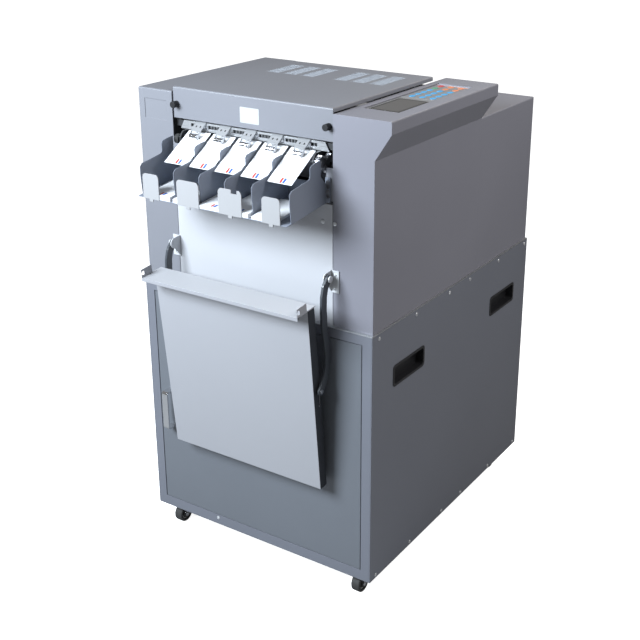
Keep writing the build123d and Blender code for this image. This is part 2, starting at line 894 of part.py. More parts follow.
def blade_post():
    """Right post with the groove that the crosscut blade slides in."""
    middle = blade_y + blade_gauge / 2
    post = slab((post_start, frame_inner), at(middle, square(post_half_depth)), (post_low, post_high))
    groove_y = at(middle, square(blade_gauge / 2 + pin_play))
    return post - slab((post_start - overrun, blade_ear_end + flat_gap), groove_y,
                       (post_low - overrun, post_high + overrun))


def side_frames():
    """Both side plates with their tabs, posts, cheeks, the idler stud and the ties between them."""
    tie_rear = tie_front + tie_depth
    ties = slab(square(frame_inner), (tie_front, tie_rear), (tie_low, bar_top))
    ties += slab(square(frame_inner), (front + thin_sheet, front + thin_sheet + front_tie_gauge),
                 (front_tie_low, front_tie_high))
    ties += slab(square(frame_inner), (rear_tie_front, rear_tie_front + tie_depth), (rear_tie_low, rear_tie_high))
    frames = ties
    for piece in (side_frame(), lid_tab(), cheek(), blade_post()):
        for half in mirrored(piece):
            frames += half
    shaft_hole = motor_shaft_radius + running_fit
    frames -= round_bar("X", pinion_place, (frame_inner - overrun, frame_outer + overrun), shaft_hole)
    stud = (cheek_x + cheek_gauge, train_x + gear_width)
    return frames + round_bar("X", idler_place, stud, exit_shaft_radius)


def shaft_bushes():
    """Flush plain bushes in both side plates."""
    bushes = []
    for place in shaft_places:
        bush = tube("X", place, (frame_inner, frame_outer), bush_radius, cutter_shaft_radius + running_fit)
        bushes += mirrored(bush)
    return bushes


# Drive
def gear(teeth, start, place, first_tooth):
    """Spur gear with straight flanks; the first tooth stands at an angle in radians."""
    pitch_radius = gear_module * teeth / 2
    half_tooth = math.pi * gear_module / 4 - gear_backlash / 2
    lean = math.tan(math.radians(20))
    rings = ((pitch_radius - gear_module * 1.2, half_tooth + gear_module * lean),
             (pitch_radius + gear_module * 0.9, half_tooth - gear_module * 0.9 * lean))
    points = []
    for tooth in range(teeth):
        middle = first_tooth + 2 * math.pi * tooth / teeth
        root, tip = rings
        for radius, half, side in ((*root, -1), (*tip, -1), (*tip, 1), (*root, 1)):
            angle = middle + side * half / radius
            points.append((place[0] + radius * math.cos(angle), place[1] + radius * math.sin(angle)))
    return side_plate(points, start, start + gear_width)


def meshed(first_tooth, teeth, place, other_teeth, other_place):
    """First tooth angle of the other gear, so that its gap faces this gear's tooth."""
    line = math.atan2(other_place[1] - place[1], other_place[0] - place[0])
    ahead = (first_tooth - line) * teeth / (2 * math.pi)
    return line + math.pi + (0.5 - ahead) * 2 * math.pi / other_teeth


idler_tooth = meshed(0, lower_teeth, lower_place, idler_teeth, idler_place)
exit_tooth = meshed(idler_tooth, idler_teeth, idler_place, exit_teeth, exit_place)
pinion_tooth = meshed(0, lower_teeth, lower_place, pinion_teeth, pinion_place)
upper_tooth = meshed(0, mesh_teeth, lower_place, mesh_teeth, upper_place)


def cutter_shaft(place):
    """Plain shaft that runs in both side plates."""
    return round_bar("X", place, square(frame_outer), cutter_shaft_radius)


def lower_cutter():
    """Lower disc knives, each on the card side of its cut, with two gears."""
    cutter = cutter_shaft(lower_place)
    for index, slit in enumerate(slit_places):
        inward = 1 if index % 2 == 0 else -1
        cutter += round_bar("X", lower_place, sorted((slit, slit + inward * disc_gauge)), disc_radius)
    cutter += gear(lower_teeth, train_x, lower_place, 0)
    return cutter + gear(mesh_teeth, mesh_x, lower_place, 0)


def upper_cutter():
    """Upper disc knives, each on the scrap side of its cut, with the meshing gear."""
    cutter = cutter_shaft(upper_place)
    for index, slit in enumerate(slit_places):
        outward = -1 if index % 2 == 0 else 1
        limits = sorted((slit + outward * disc_gap, slit + outward * (disc_gap + disc_gauge)))
        cutter += round_bar("X", upper_place, limits, disc_radius)
    return cutter + gear(mesh_teeth, mesh_x, upper_place, upper_tooth)


def idler_gear():
    """Gear between the cutters and the exit shaft, free on its stud."""
    wheel = gear(idler_teeth, train_x, idler_place, idler_tooth)
    return wheel - round_bar("X", idler_place, (train_x - overrun, train_x + gear_width + overrun),
                             exit_shaft_radius + running_fit)


def motor_pinion():
    """Pinion on the shaft of the main motor."""
    shaft = round_bar("X", pinion_place, (train_x, frame_outer + gear_width), motor_shaft_radius)
    return shaft + gear(pinion_teeth, train_x, pinion_place, pinion_tooth)


def drive_motors():
    """Round main motor and square feed motor, on the outer face of the right side plate."""
    main = round_bar("X", pinion_place, (frame_outer, frame_outer + motor_length), motor_radius)
    main = fillet(main.edges(), edge_round)
    main -= round_bar("X", pinion_place, (frame_outer - overrun, frame_outer + 2 * gear_width),
                      motor_shaft_radius + running_fit)
    feed = slab((frame_outer, frame_outer + feed_motor_length), at(feed_y, square(feed_motor_half)),
                at(feed_z, square(feed_motor_half)))
    feed = fillet(feed.edges().filter_by(Axis.X), edge_round)
    return [main, feed - round_bar("X", (feed_y, feed_z), (frame_outer - overrun, frame_outer + 2 * gear_width),
                                   feed_shaft_radius + running_fit)]


def feed_roller():
    """Driven feed roller under the sheet path."""
    shaft = round_bar("X", (feed_y, feed_z), (-frame_outer, frame_outer + gear_width), feed_shaft_radius)
    return shaft + round_bar("X", (feed_y, feed_z), square(feed_half), feed_radius)


def pinch_roller():
    """Plain roller that holds the sheet on the feed roller."""
    shaft = round_bar("X", (feed_y, pinch_z), square(frame_outer), feed_shaft_radius)
    return shaft + round_bar("X", (feed_y, pinch_z), square(feed_half), pinch_radius)


# Exit nip
def exit_shaft():
    """Shaft under the nips, driven by the gear on its right end."""
    shaft = round_bar("X", exit_place, (-knob_end, exit_end), exit_shaft_radius)
    return shaft + gear(exit_teeth, train_x, exit_place, exit_tooth)


def exit_tyres():
    """Rubber tyres at the lanes and the fluted hand knob at the left end."""
    tyres = []
    for x in lane_places:
        tyre = tube("X", exit_place, at(x, square(tyre_width / 2)), tyre_radius, exit_shaft_radius)
        tyres.append(tyre)
    knob = tube("X", exit_place, (-knob_end, -knob_start), knob_radius, exit_shaft_radius)
    for groove in range(knob_grooves):
        angle = 2 * math.pi * groove / knob_grooves
        place = (exit_y + knob_radius * math.cos(angle), exit_z + knob_radius * math.sin(angle))
        knob -= round_bar("X", place, (-knob_end - overrun, overrun - knob_start), knob_groove)
    return [*tyres, knob]


def nip_rollers():
    """Two loose bright rollers on each nip pin."""
    rollers = []
    for x in lane_places:
        for span in ((nip_split / 2, nip_half), (-nip_half, -nip_split / 2)):
            rollers.append(tube("X", (nip_y, nip_z), at(x, span), nip_radius, nip_pin_radius + running_fit))
    return rollers


def guide_bar():
    """Bright channel over the exit, with slanted ends and a row of square windows."""
    flange_top = bar_top + bar_gauge
    web_outline = ((-bar_half, bar_low), (bar_half, bar_low), (bar_half - bar_slant, flange_top),
                   (bar_slant - bar_half, flange_top))
    bar = front_plate(web_outline, bar_y, bar_y + bar_gauge)
    bar += slab(square(bar_half - bar_slant), (bar_y, tie_front + tie_depth), (bar_top, flange_top))
    window_z = (bar_window_low, bar_window_high)
    window_y = (bar_y - overrun, bar_y + bar_gauge + overrun)
    clear = lane_pitch - 2 * bracket_half
    pitch = clear / (bar_windows + 1)
    half_window = (pitch - bar_rib) / 2
    for place in lane_places[:-1]:
        for window in range(bar_windows):
            middle = place + bracket_half + (window + 1) * pitch
            bar -= slab(at(middle, square(half_window)), window_y, window_z)
    last = lane_places[-1] + bracket_half + pitch / 2
    for side in (-1, 1):
        for window in range(2):
            middle = side * (last + window * pitch)
            bar -= slab(at(middle, square(half_window)), window_y, window_z)
    return bar


def nip_bracket(x):
    """Sprung plate bent down over the guide bar, with ears and a pin for the rollers."""
    top = bar_top + bar_gauge
    rear = bar_y + bar_gauge + bracket_flange
    lean = math.atan2(top - bracket_tip_z, bar_y - bracket_tip_y)
    under = (bracket_tip_y + bracket_gauge * math.sin(lean), bracket_tip_z - bracket_gauge * math.cos(lean))
    bend = bracket_gauge * math.tan(lean / 2)
    outline = ((rear, top), (rear, top + bracket_gauge), (bar_y - bend, top + bracket_gauge),
               (bracket_tip_y, bracket_tip_z), under, (bar_y, top))
    plate = side_plate(outline, x - bracket_half, x + bracket_half)
    depth_middle = (bracket_tip_y - bracket_gauge + rear) / 2
    print_shape = Rectangle(2 * bracket_half, rear - bracket_tip_y + bracket_gauge)
    corner = print_shape.vertices().sort_by(Axis.X)[-2:].sort_by(Axis.Y)[:1]
    rounded = Pos(x, depth_middle, bracket_tip_z - ear_radius) * fillet(corner, bracket_round)
    plate &= extrude(rounded, top - bracket_tip_z + 2 * ear_radius)
    ear_top = (bracket_tip_y + ear_radius, bracket_tip_z + ear_radius * math.tan(lean))
    ear_outline = ((bracket_tip_y, bracket_tip_z), ear_top, (nip_y + ear_radius, nip_z), (nip_y - ear_radius, nip_z))
    for side in (-1, 1):
        limits = sorted((x + side * ear_inner, x + side * (ear_inner + ear_gauge)))
        plate += side_plate(ear_outline, *limits) + round_bar("X", (nip_y, nip_z), limits, ear_radius)
    return plate + round_bar("X", (nip_y, nip_z), at(x, square(ear_inner)), nip_pin_radius)


# Cards
card_turn = nip_angle
card_offset = tyre_radius + (card_gauge + nip_ease) / 2


def sample_card(x):
    """Printed card held in a nip, sloping down into its lane."""
    ahead = card_length * card_ahead_share
    card = Pos(x, card_length / 2 - ahead, 0) * Box(card_width, card_length, card_gauge)
    normal = math.radians(card_turn)
    contact = (exit_y - card_offset * math.sin(normal), exit_z + card_offset * math.cos(normal))
    return Pos(0, *contact) * Rot(X=card_turn) * card


def floor_z(y):
    """Level of the catch tray floor at a Y place."""
    slope = (floor_rear_z - floor_front_z) / (tray_floor_rear - tray_floor_front)
    return floor_front_z + slope * (y - tray_floor_front)


def card_stack(x, height):
    """Pile of cut cards on the floor of a lane, against its stop."""
    near = tray_floor_front
    far = near + card_length
    outline = ((near, floor_z(near)), (far, floor_z(far)), (far, floor_z(far) + height),
               (near, floor_z(near) + height))
    return side_plate(outline, x - card_width / 2, x + card_width / 2)


# Catch tray
def tray_wall(x):
    """Divider between two lanes, cut away at its rear under the exit shaft."""
    foot = wall_outline[-1]
    rear = ((foot[0] + floor_gauge, floor_z(foot[0] + floor_gauge)), (tray_floor_rear, floor_rear_z),
            (tray_floor_rear, back_high), (wall_outline[0][0], wall_rear_knee))
    return side_plate(wall_outline + rear, x - wall_gauge / 2, x + wall_gauge / 2)


def catch_tray():
    """Sheet tray with six dividers, a back and two keyhole flanges that hang on the rail studs."""
    outer = wall_places[-1]
    floor_outline = ((tray_floor_front, floor_front_z), (tray_floor_rear, floor_rear_z),
                     (tray_floor_rear, floor_rear_z - floor_gauge), (tray_floor_front, floor_front_z - floor_gauge))
    tray = side_plate(floor_outline, -outer, outer)
    tray += slab(square(outer), (tray_floor_rear, tray_floor_rear + back_gauge),
                 (floor_rear_z - floor_gauge, back_high))
    tray += slab(square(flange_out), (tray_floor_rear, tray_floor_rear + back_gauge), (floor_rear_z, flange_high)) \
        - slab(square(outer - wall_gauge), (-overrun, depth), (back_high, flange_high + overrun))
    for place in wall_places:
        for x in (-place + wall_gauge / 2, place - wall_gauge / 2):
            tray += tray_wall(x)
    through = (tray_floor_rear - overrun, tray_floor_rear + back_gauge + overrun)
    for side in (-1, 1):
        for level in stud_levels:
            place = (side * stud_x, level)
            tray -= round_bar("Y", place, through, stud_radius + stud_play)
            tray -= slab(at(side * stud_x, square(stud_radius + stud_play)), through, (level - tray_lift, level))
            tray -= round_bar("Y", (side * stud_x, level - tray_lift), through, stud_head + stud_play)
    return tray


def card_stop(index, span):
    """Light front stop with round top corners and a foot; one has a finger notch."""
    near = (tray_floor_front - stop_gauge, tray_floor_front)
    low = floor_front_z - floor_gauge
    stop = slab(span, near, (low, stop_high))
    stop = fillet(stop.edges().filter_by(Axis.Y).sort_by(Axis.Z)[-2:], stop_round)
    middle = sum(span) / 2
    stop += slab(at(middle, square(stop_foot_width / 2)), near, (low - stop_foot, low))
    if index == notched_stop:
        through = (near[0] - overrun, near[1] + overrun)
        stop -= slab(at(notch_x, square(notch_width / 2)), through, (stop_high - notch_deep, stop_high + overrun))
    return stop


def tray_rail():
    """Right hanger rail, bent back to the side plate, with two headed studs."""
    rail = slab((rail_inner, tower_inner), (front, front + sheet), (rail_low, rail_high))
    rail += slab((tower_inner - thin_sheet, tower_inner), (front, front + rail_return), (rail_low, rail_high))
    neck_end = tray_floor_rear - stud_play
    for level in stud_levels:
        rail += round_bar("Y", (stud_x, level), (neck_end, front), stud_radius)
        rail += round_bar("Y", (stud_x, level), (neck_end - stud_head_gauge, neck_end), stud_head)
    return rail


# Receiving tray, hung on the arms
pan_rise = pan_high_z - pan_low_z
pan_run = pan_low_y - pan_high_y
pan_length = math.hypot(pan_rise, pan_run)
pan_tilt = math.degrees(math.atan2(pan_run, pan_rise))
pan_place = Pos(0, pan_low_y, pan_low_z) * Rot(X=pan_tilt)


def in_pan(y, z):
    """A point of the machine in the upright frame of the pan."""
    turn = math.radians(pan_tilt)
    run = y - pan_low_y
    rise = z - pan_low_z
    return (run * math.cos(turn) + rise * math.sin(turn), rise * math.cos(turn) - run * math.sin(turn))


def receiving_tray():
    """Shallow pan with side flanges, slots for the pins, a deep top lip and end hooks."""
    pan = slab(square(pan_half), (0, pan_deep), (0, pan_length))
    pan = fillet(pan.edges().filter_by(Axis.X).sort_by(Axis.Z)[:2], pan_gauge)
    pan -= slab(square(pan_half - pan_gauge), (pan_gauge, pan_deep + overrun), (pan_gauge, pan_length + overrun))
    lip_y = (-lip_reach, pan_deep)
    pan += slab(square(lip_half), lip_y, (pan_length, pan_length + pan_gauge))
    pan += slab(square(lip_half), (-lip_reach, pan_gauge - lip_reach), (pan_length - lip_hem, pan_length))
    pin = in_pan(pin_y, pin_z)
    slot = pin_radius + pin_play
    across = square(pan_half + overrun)
    pan -= round_bar("X", pin, across, slot)
    pan -= round_bar("X", (pin[0], pin[1] - slot_drop), across, slot)
    pan -= slab(across, at(pin[0], square(slot)), (pin[1] - slot_drop, pin[1]))
    hook_low = pan_length + pan_gauge
    for side in (-1, 1):
        limits = sorted((side * (lip_half - hook_gauge), side * lip_half))
        hook = slab(limits, (-lip_reach, hook_length - lip_reach), (hook_low, hook_low + hook_high))
        throat = (-lip_reach + hook_gauge, hook_high / 2 - lip_reach)
        pan += hook - slab(square(lip_half + overrun), throat, (hook_low + hook_high / 4, hook_low + hook_high * 3 / 4)) \
            - slab(square(lip_half + overrun), (-lip_reach - overrun, throat[0]),
                   (hook_low + hook_high * 2 / 5, hook_low + hook_high * 3 / 5))
    return pan_place * pan


def tray_pins():
    """Headed pin on each side, through the arm eye and the slot of the pan, with a washer between them."""
    outer = arm_start + arm_gauge
    pin = round_bar("X", (pin_y, pin_z), (pan_half - pan_gauge, outer + flat_gap), pin_radius)
    pin += round_bar("X", (pin_y, pin_z), (pan_half + flat_gap, arm_start - flat_gap), 2 * pin_radius)
    pin += round_bar("X", (pin_y, pin_z), (outer + flat_gap, outer + flat_gap + pan_gauge), 2 * pin_radius)
    pin += round_bar("X", (pin_y, pin_z), (pan_half - 2 * pan_gauge - flat_gap, pan_half - pan_gauge - flat_gap),
                     2 * pin_radius)
    pin += round_bar("X", (pin_y, pin_z), (pan_half - pan_gauge - flat_gap, pan_half), pin_radius)
    return mirrored(pin)


def tray_arm():
    """Right dog-leg arm, round at both ends."""
    points = [(arm_pivot_y, arm_pivot_z), *arm_path, (pin_y, pin_z)]
    profile = None
    for start, end in zip(points, points[1:]):
        rounds = [Pos(*point) * Circle(arm_half) for point in (start, end)]
        link = make_hull([edge for circle in rounds for edge in circle.edges()])
        profile = link if profile is None else profile + link
    arm = Pos(arm_start, 0, 0) * extrude(Plane.YZ * profile, arm_gauge)
    through = (arm_start - overrun, arm_start + arm_gauge + overrun)
    arm -= round_bar("X", (arm_pivot_y, arm_pivot_z), through, arm_pin_radius + running_fit)
    return arm - round_bar("X", (pin_y, pin_z), through, pin_radius + pin_play)


def arm_bracket():
    """Right bracket screwed to the front, with its ear and the pivot of the arm."""
    bracket = slab((arm_bracket_inner, arm_bracket_outer), (front - arm_bracket_gauge, front),
                   (arm_bracket_low, arm_bracket_high))
    ear_end = arm_bracket_inner + arm_bracket_gauge
    ear_round = arm_pivot_y - arm_ear_front
    outline = ((front, arm_bracket_high), (arm_pivot_y, arm_pivot_z + ear_round), (arm_ear_front, arm_pivot_z),
               (arm_pivot_y, arm_pivot_z - ear_round), (front, arm_bracket_low))
    bracket += side_plate(outline, arm_bracket_inner, ear_end)
    bracket += round_bar("X", (arm_pivot_y, arm_pivot_z), (arm_bracket_inner, ear_end), ear_round)
    outer = arm_start + arm_gauge + flat_gap
    bracket += round_bar("X", (arm_pivot_y, arm_pivot_z), (ear_end, outer), arm_pin_radius)
    return bracket + round_bar("X", (arm_pivot_y, arm_pivot_z), (outer, outer + pivot_head), pivot_head_radius)


# Crosscut
def crosscut_blade():
    """Guillotine blade with a bevelled edge and an ear at each end."""
    rear = blade_y + blade_gauge
    outline = ((rear, blade_low), (rear, blade_high), (blade_y, blade_high), (blade_y, blade_low + blade_gauge))
    blade = side_plate(outline, -blade_half, blade_half)
    return blade + slab(square(blade_ear_end), (blade_y, rear), (blade_ear_low, blade_high))


def blade_bed():
    """Fixed lower blade, carried by both side plates below the gears."""
    near = blade_y + blade_gauge + shear_gap
    bed = slab(square(blade_half), (near, near + bed_gauge), (bed_low, bed_top))
    return bed + slab(square(frame_inner), (near, near + bed_gauge), (bed_low, bed_step))


# Feed table and guides
def feed_table():
    """Table between the side plates, with a slot for the peg of each side guide."""
    table = slab(square(frame_inner), (table_front, frame_rear), (table_level, table_level + table_gauge))
    half = peg_radius + peg_play
    outer = guide_at + peg_offset
    for side in (-1, 1):
        table += slab(sorted((side * (frame_inner - sheet), side * frame_inner)), (table_front, frame_rear),
                      (table_level - table_flange, table_level))
        slot = sorted((side * (outer - guide_travel - half), side * (outer + half)))
        table -= slab(slot, at(slot_y, square(half)), (table_level - overrun, table_level + table_gauge + overrun))
    return table


def side_guide():
    """Right side guide: an upright fence on a foot, with a peg in the table slot."""
    level = table_level + table_gauge
    run = (guide_front, guide_front + guide_length)
    fence = slab((guide_at, guide_at + guide_gauge), run, (level, level + guide_high))
    foot = slab((guide_at, guide_at + guide_base), run, (level, level + guide_gauge))
    foot = fillet(foot.edges().filter_by(Axis.Z).sort_by(Axis.X)[-2:], guide_high / 2)
    return fence + foot + round_bar("Z", (guide_at + peg_offset, slot_y), (level - peg_drop, level), peg_radius)


# Board and screws
def control_board():
    """Circuit board on four standoffs, with connectors and chips."""
    face = frame_outer + board_standoff
    run = (board_y, board_y + board_length)
    board = slab((face, face + board_gauge), run, (board_low, board_high))
    edge = board_standoff
    for y in (run[0] + edge, run[1] - edge):
        for z in (board_low + edge, board_high - edge):
            board += round_bar("X", (y, z), (frame_outer, face), board_standoff / 2)
    rows = 3
    outer = face + board_gauge + chip_rise
    pitch_y = board_length / (rows + 1)
    pitch_z = (board_high - board_low) / (rows + 1)
    for row in range(rows):
        for column in range(rows):
            middle_y = run[0] + (row + 1) * pitch_y
            middle_z = board_low + (column + 1) * pitch_z
            board += slab((face, outer), at(middle_y, square(pitch_y / 3)), at(middle_z, square(pitch_z / 4)))
    return board


def panel_screws():
    """Round screw heads on the covers, the front, the guide bar and the arm brackets."""
    screws = []
    for level, from_front, from_rear in side_screw_rows:
        reach = half_width if level < cabinet_top else body_half
        for y in (*from_front, *[depth - inset for inset in from_rear]):
            screws += mirrored(round_bar("X", (y, level), (reach, reach + screw_head), screw_radius))
    front_places = ((panel_screw_x, panel_screw_z), (strip_screw_x, panel_screw_z))
    for x, z in front_places:
        screws += mirrored(round_bar("Y", (x, z), (front - screw_head, front), screw_radius))
    frame_screw = round_bar("Y", (-frame_screw_x, underside + frame_screw_rise), (-screw_head, 0), screw_radius)
    screws.append(frame_screw)
    flange_top = bar_top + bar_gauge + bracket_gauge
    screw_y = bar_y + bar_gauge + bracket_flange / 2
    for x in lane_places:
        for side in (-1, 1):
            span = (flange_top, flange_top + small_screw_head)
            screws.append(round_bar("Z", (x + side * lane_screw, screw_y), span, small_screw_radius))
    bracket_face = front - arm_bracket_gauge
    screw_x = (ear_screw_inset + arm_bracket_outer + arm_bracket_inner) / 2
    for z in (arm_bracket_low + arm_half, arm_bracket_high - arm_half):
        head = round_bar("Y", (screw_x, z), (bracket_face - small_screw_head, bracket_face), small_screw_radius)
        screws += mirrored(head)
    return screws


keep("cabinet_base", slab(square(half_width), (0, depth), (underside, underside + sheet)))
keep("cabinet_shell", cabinet_shell())
keep("cabinet_frame", cabinet_frame())
keep("cabinet_deck", cabinet_deck())
keep("cabinet_door", cabinet_door())
keep("door_handle", door_handle())
keep("side_pulls", *[half for start in pull_starts for half in mirrored(side_pull(start))])
keep("waste_bin", waste_bin())
keep("caster_plates", *[caster_plate_at(x, y) for x, y in caster_places])
for corner, (x, y) in zip(caster_names, caster_places):
    keep(f"caster_fork_{corner}", caster_fork(x, y))
    keep(f"caster_wheel_{corner}", caster_wheel(x, y))
keep("left_cover", left_cover())
keep("right_cover", right_cover())
keep("rear_cover", rear_cover())
keep("front_panel", front_panel())
keep("mains_inlet", mains_inlet())
keep("keypad", keypad())
keep("display_window", display_window())
keep("lid", lid())
keep("lid_vents", *[lid_vent(start) for start in vent_starts])
keep("lid_bridge", lid_bridge())
keep("thumbscrew_left", thumbscrew(-thumb_x))
keep("thumbscrew_right", thumbscrew(thumb_x))
keep("side_frames", side_frames())
keep("shaft_bushes", *shaft_bushes())
keep("lower_cutter", lower_cutter())
keep("upper_cutter", upper_cutter())
keep("idler_gear", idler_gear())
keep("motor_pinion", motor_pinion())
keep("drive_motors", *drive_motors())
keep("feed_roller", feed_roller())
keep("pinch_roller", pinch_roller())
keep("crosscut_blade", crosscut_blade())
keep("blade_bed", blade_bed())
keep("exit_shaft", exit_shaft())
keep("exit_tyres", *exit_tyres())
keep("nip_rollers", *nip_rollers())
keep("nip_brackets", *[nip_bracket(x) for x in lane_places])
keep("guide_bar", guide_bar())
keep("sample_cards", *[sample_card(x) for x in lane_places])
keep("card_stacks", *[card_stack(x, height) for x, height in zip(lane_places, stack_heights)])
keep("catch_tray", catch_tray())
keep("card_stops", *[card_stop(index, span) for index, span in enumerate(stop_spans)])
keep("tray_rails", *mirrored(tray_rail()))
keep("receiving_tray", receiving_tray())
keep("tray_pins", *tray_pins())
right_arm, left_arm = mirrored(tray_arm())
keep("arm_right", right_arm)
keep("arm_left", left_arm)
keep("arm_brackets", *mirrored(arm_bracket()))
keep("feed_table", feed_table())
right_guide, left_guide = mirrored(side_guide())
keep("guide_right", right_guide)
keep("guide_left", left_guide)
keep("control_board", control_board())
keep("panel_screws", *panel_screws())

print(len(node_names), "nodes; origin at", middle_x, middle_y)
joint_places = {"door": (door_pin_x, door_pin_y), "lid": (hinge_y, hinge_z), "lower": lower_place,
                "upper": upper_place, "idler": idler_place, "exit": exit_place, "nip": (nip_y, nip_z),
                "pinion": pinion_place, "feed": (feed_y, feed_z), "pinch": (feed_y, pinch_z),
                "pan tilt": pan_tilt, "floor slope": floor_z(0) - floor_z(-1)}
for name, place in joint_places.items():
    print(name, place)
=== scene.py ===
# %% [markdown]
# A business card cutter stands on a wheeled cabinet. Its solids are already made and packed, so this
# lesson only dresses them: it loads them as a fixed frame, keeps their box, and works in metres.

# %% Load the frame
import math

import bmesh
import bpy
from mathutils import Matrix, Vector


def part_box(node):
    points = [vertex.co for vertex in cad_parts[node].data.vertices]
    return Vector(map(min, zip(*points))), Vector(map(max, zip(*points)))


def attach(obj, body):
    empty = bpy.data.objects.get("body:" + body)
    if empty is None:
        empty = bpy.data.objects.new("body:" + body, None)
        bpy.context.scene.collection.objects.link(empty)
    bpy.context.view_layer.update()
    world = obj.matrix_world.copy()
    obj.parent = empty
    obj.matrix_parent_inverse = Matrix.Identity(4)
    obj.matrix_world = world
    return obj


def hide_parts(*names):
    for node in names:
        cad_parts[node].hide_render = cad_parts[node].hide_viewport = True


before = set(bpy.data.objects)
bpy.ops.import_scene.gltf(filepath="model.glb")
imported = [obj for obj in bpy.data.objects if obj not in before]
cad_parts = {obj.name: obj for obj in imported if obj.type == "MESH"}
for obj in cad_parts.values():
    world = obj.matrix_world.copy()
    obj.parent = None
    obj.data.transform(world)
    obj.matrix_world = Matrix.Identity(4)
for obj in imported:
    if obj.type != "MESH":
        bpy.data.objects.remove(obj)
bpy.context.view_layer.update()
mm = 0.001

# %% [markdown]
# The photograph looks down on the machine from the front right, through a long lens. The camera was
# fitted to the edges of the cabinet, so its place, turn and lens are written as they came out. The small
# shift is what is left of the crop.

# %% Camera at the photograph's angle
camera_place = (1.2304, -1.8695, 1.4105)
camera_turn = (90 - 20.1492, -0.1492, 32.8604)
camera_lens = 61.65
camera_shift = (-0.0431, -0.0846)
camera_data = bpy.data.cameras.new("camera")
camera_data.sensor_width = 36
camera_data.lens = camera_lens
camera_data.shift_x, camera_data.shift_y = camera_shift
camera = bpy.data.objects.new("camera", camera_data)
camera.location = camera_place
camera.rotation_euler = [math.radians(angle) for angle in camera_turn]
bpy.context.collection.objects.link(camera)
bpy.context.scene.camera = camera
print("camera lens", camera_lens, "mm")

# %% [markdown]
# The photograph looks as if a large soft light stood close to the left front corner: the front plates
# are pale at the top and fall off to slate grey below, while the right side stays dark. A near, large
# area light gives that fall-off by distance alone. The studio around it is white where the camera sees
# it, and dimmer as a light, so that the dark side keeps its depth.

# %% Soft studio light
def soft_box(name, place, target, size, watts, tint=(1, 1, 1)):
    light = bpy.data.lights.new(name, "AREA")
    light.color = tint
    light.shape = "RECTANGLE"
    light.size, light.size_y = size
    light.energy = watts
    box = bpy.data.objects.new(name, light)
    box.location = place
    box.rotation_euler = (Vector(target) - Vector(place)).to_track_quat("-Z", "Y").to_euler()
    bpy.context.collection.objects.link(box)
    return box


soft_box("key_light", (-0.60, -1.70, 1.60), (-0.03, -0.35, 0.80), (1.0, 0.8), 76,
         tint=(0.90, 1.00, 1.09))
soft_box("rear_light", (0.1, 1.3, 2.2), (0.0, 0.2, 0.95), (1.4, 1.0), 9,
         tint=(1.06, 1.00, 0.92))
soft_box("side_light", (1.5, 0.25, 1.9), (0.2, 0.05, 0.85), (0.9, 0.5), 18)
studio_fill = 0.25
world = bpy.data.worlds.new("studio")
world.use_nodes = True
backdrop = world.node_tree.nodes["Background"]
backdrop.inputs["Color"].default_value = (1, 1, 1, 1)
seen = world.node_tree.nodes.new("ShaderNodeLightPath")
strength = world.node_tree.nodes.new("ShaderNodeMapRange")
strength.inputs["To Min"].default_value = studio_fill
strength.inputs["To Max"].default_value = 1.0
world.node_tree.links.new(seen.outputs["Is Camera Ray"], strength.inputs["Value"])
world.node_tree.links.new(strength.outputs["Result"], backdrop.inputs["Strength"])
bpy.context.scene.world = world
bpy.context.scene.view_settings.view_transform = "Standard"
print("three soft boxes in a white studio")

# %% [markdown]
# A material's detail is arithmetic on sockets. One small class wraps a socket, so that sums are written
# as sums, and one method adds any other node: its type, its settings and what its sockets get.

# %% Sums on sockets
class Wire:
    """An output socket that can be used in sums."""

    def __init__(self, tree, socket=None):
        self.tree = tree
        self.socket = socket

    def node(self, kind, settings=None, sockets=None, out=0):
        """Add a node and return one of its outputs."""
        node = self.tree.nodes.new("ShaderNode" + kind)
        for key, value in (settings or {}).items():
            if key == "stops":
                ramp = node.color_ramp.elements
                while len(ramp) < len(value):
                    ramp.new(1.0)
                for element, (place, shade) in zip(ramp, value):
                    element.position = place
                    element.color = shade if isinstance(shade, tuple) else (shade, shade, shade, 1)
            else:
                setattr(node, key, value)
        for key, value in (sockets or {}).items():
            if isinstance(value, Wire):
                self.tree.links.new(value.socket, node.inputs[key])
            else:
                node.inputs[key].default_value = value
        return Wire(self.tree, node.outputs[out])

    def sum(self, operation, first, second=None):
        first, second = (self, first) if second is None else (first, second)
        return self.node("Math", {"operation": operation}, {0: first, 1: second})

    def __add__(self, other):
        return self.sum("ADD", self, other)

    def __sub__(self, other):
        return self.sum("SUBTRACT", self, other)

    def __rsub__(self, other):
        return self.sum("SUBTRACT", other, self)

    def __mul__(self, other):
        return self.sum("MULTIPLY", self, other)

    def __lt__(self, other):
        return self.sum("LESS_THAN", self, other)

    def __gt__(self, other):
        return self.sum("GREATER_THAN", self, other)

    __radd__ = __add__
    __rmul__ = __mul__

    def size(self):
        return self.sum("ABSOLUTE", self, 0.0)

    def repeat(self, pitch):
        """The remainder after whole pitches."""
        return self.sum("FLOORED_MODULO", self, pitch)


def between(value, low, high):
    """1 where a value lies between two limits, 0 elsewhere."""
    return (value > low) * (value < high)


def blend_colours(start, share, first, second):
    """Mix two colours, wires or plain, by a share."""
    return start.node("Mix", {"data_type": "RGBA"}, {0: share, 6: first, 7: second}, out=2)


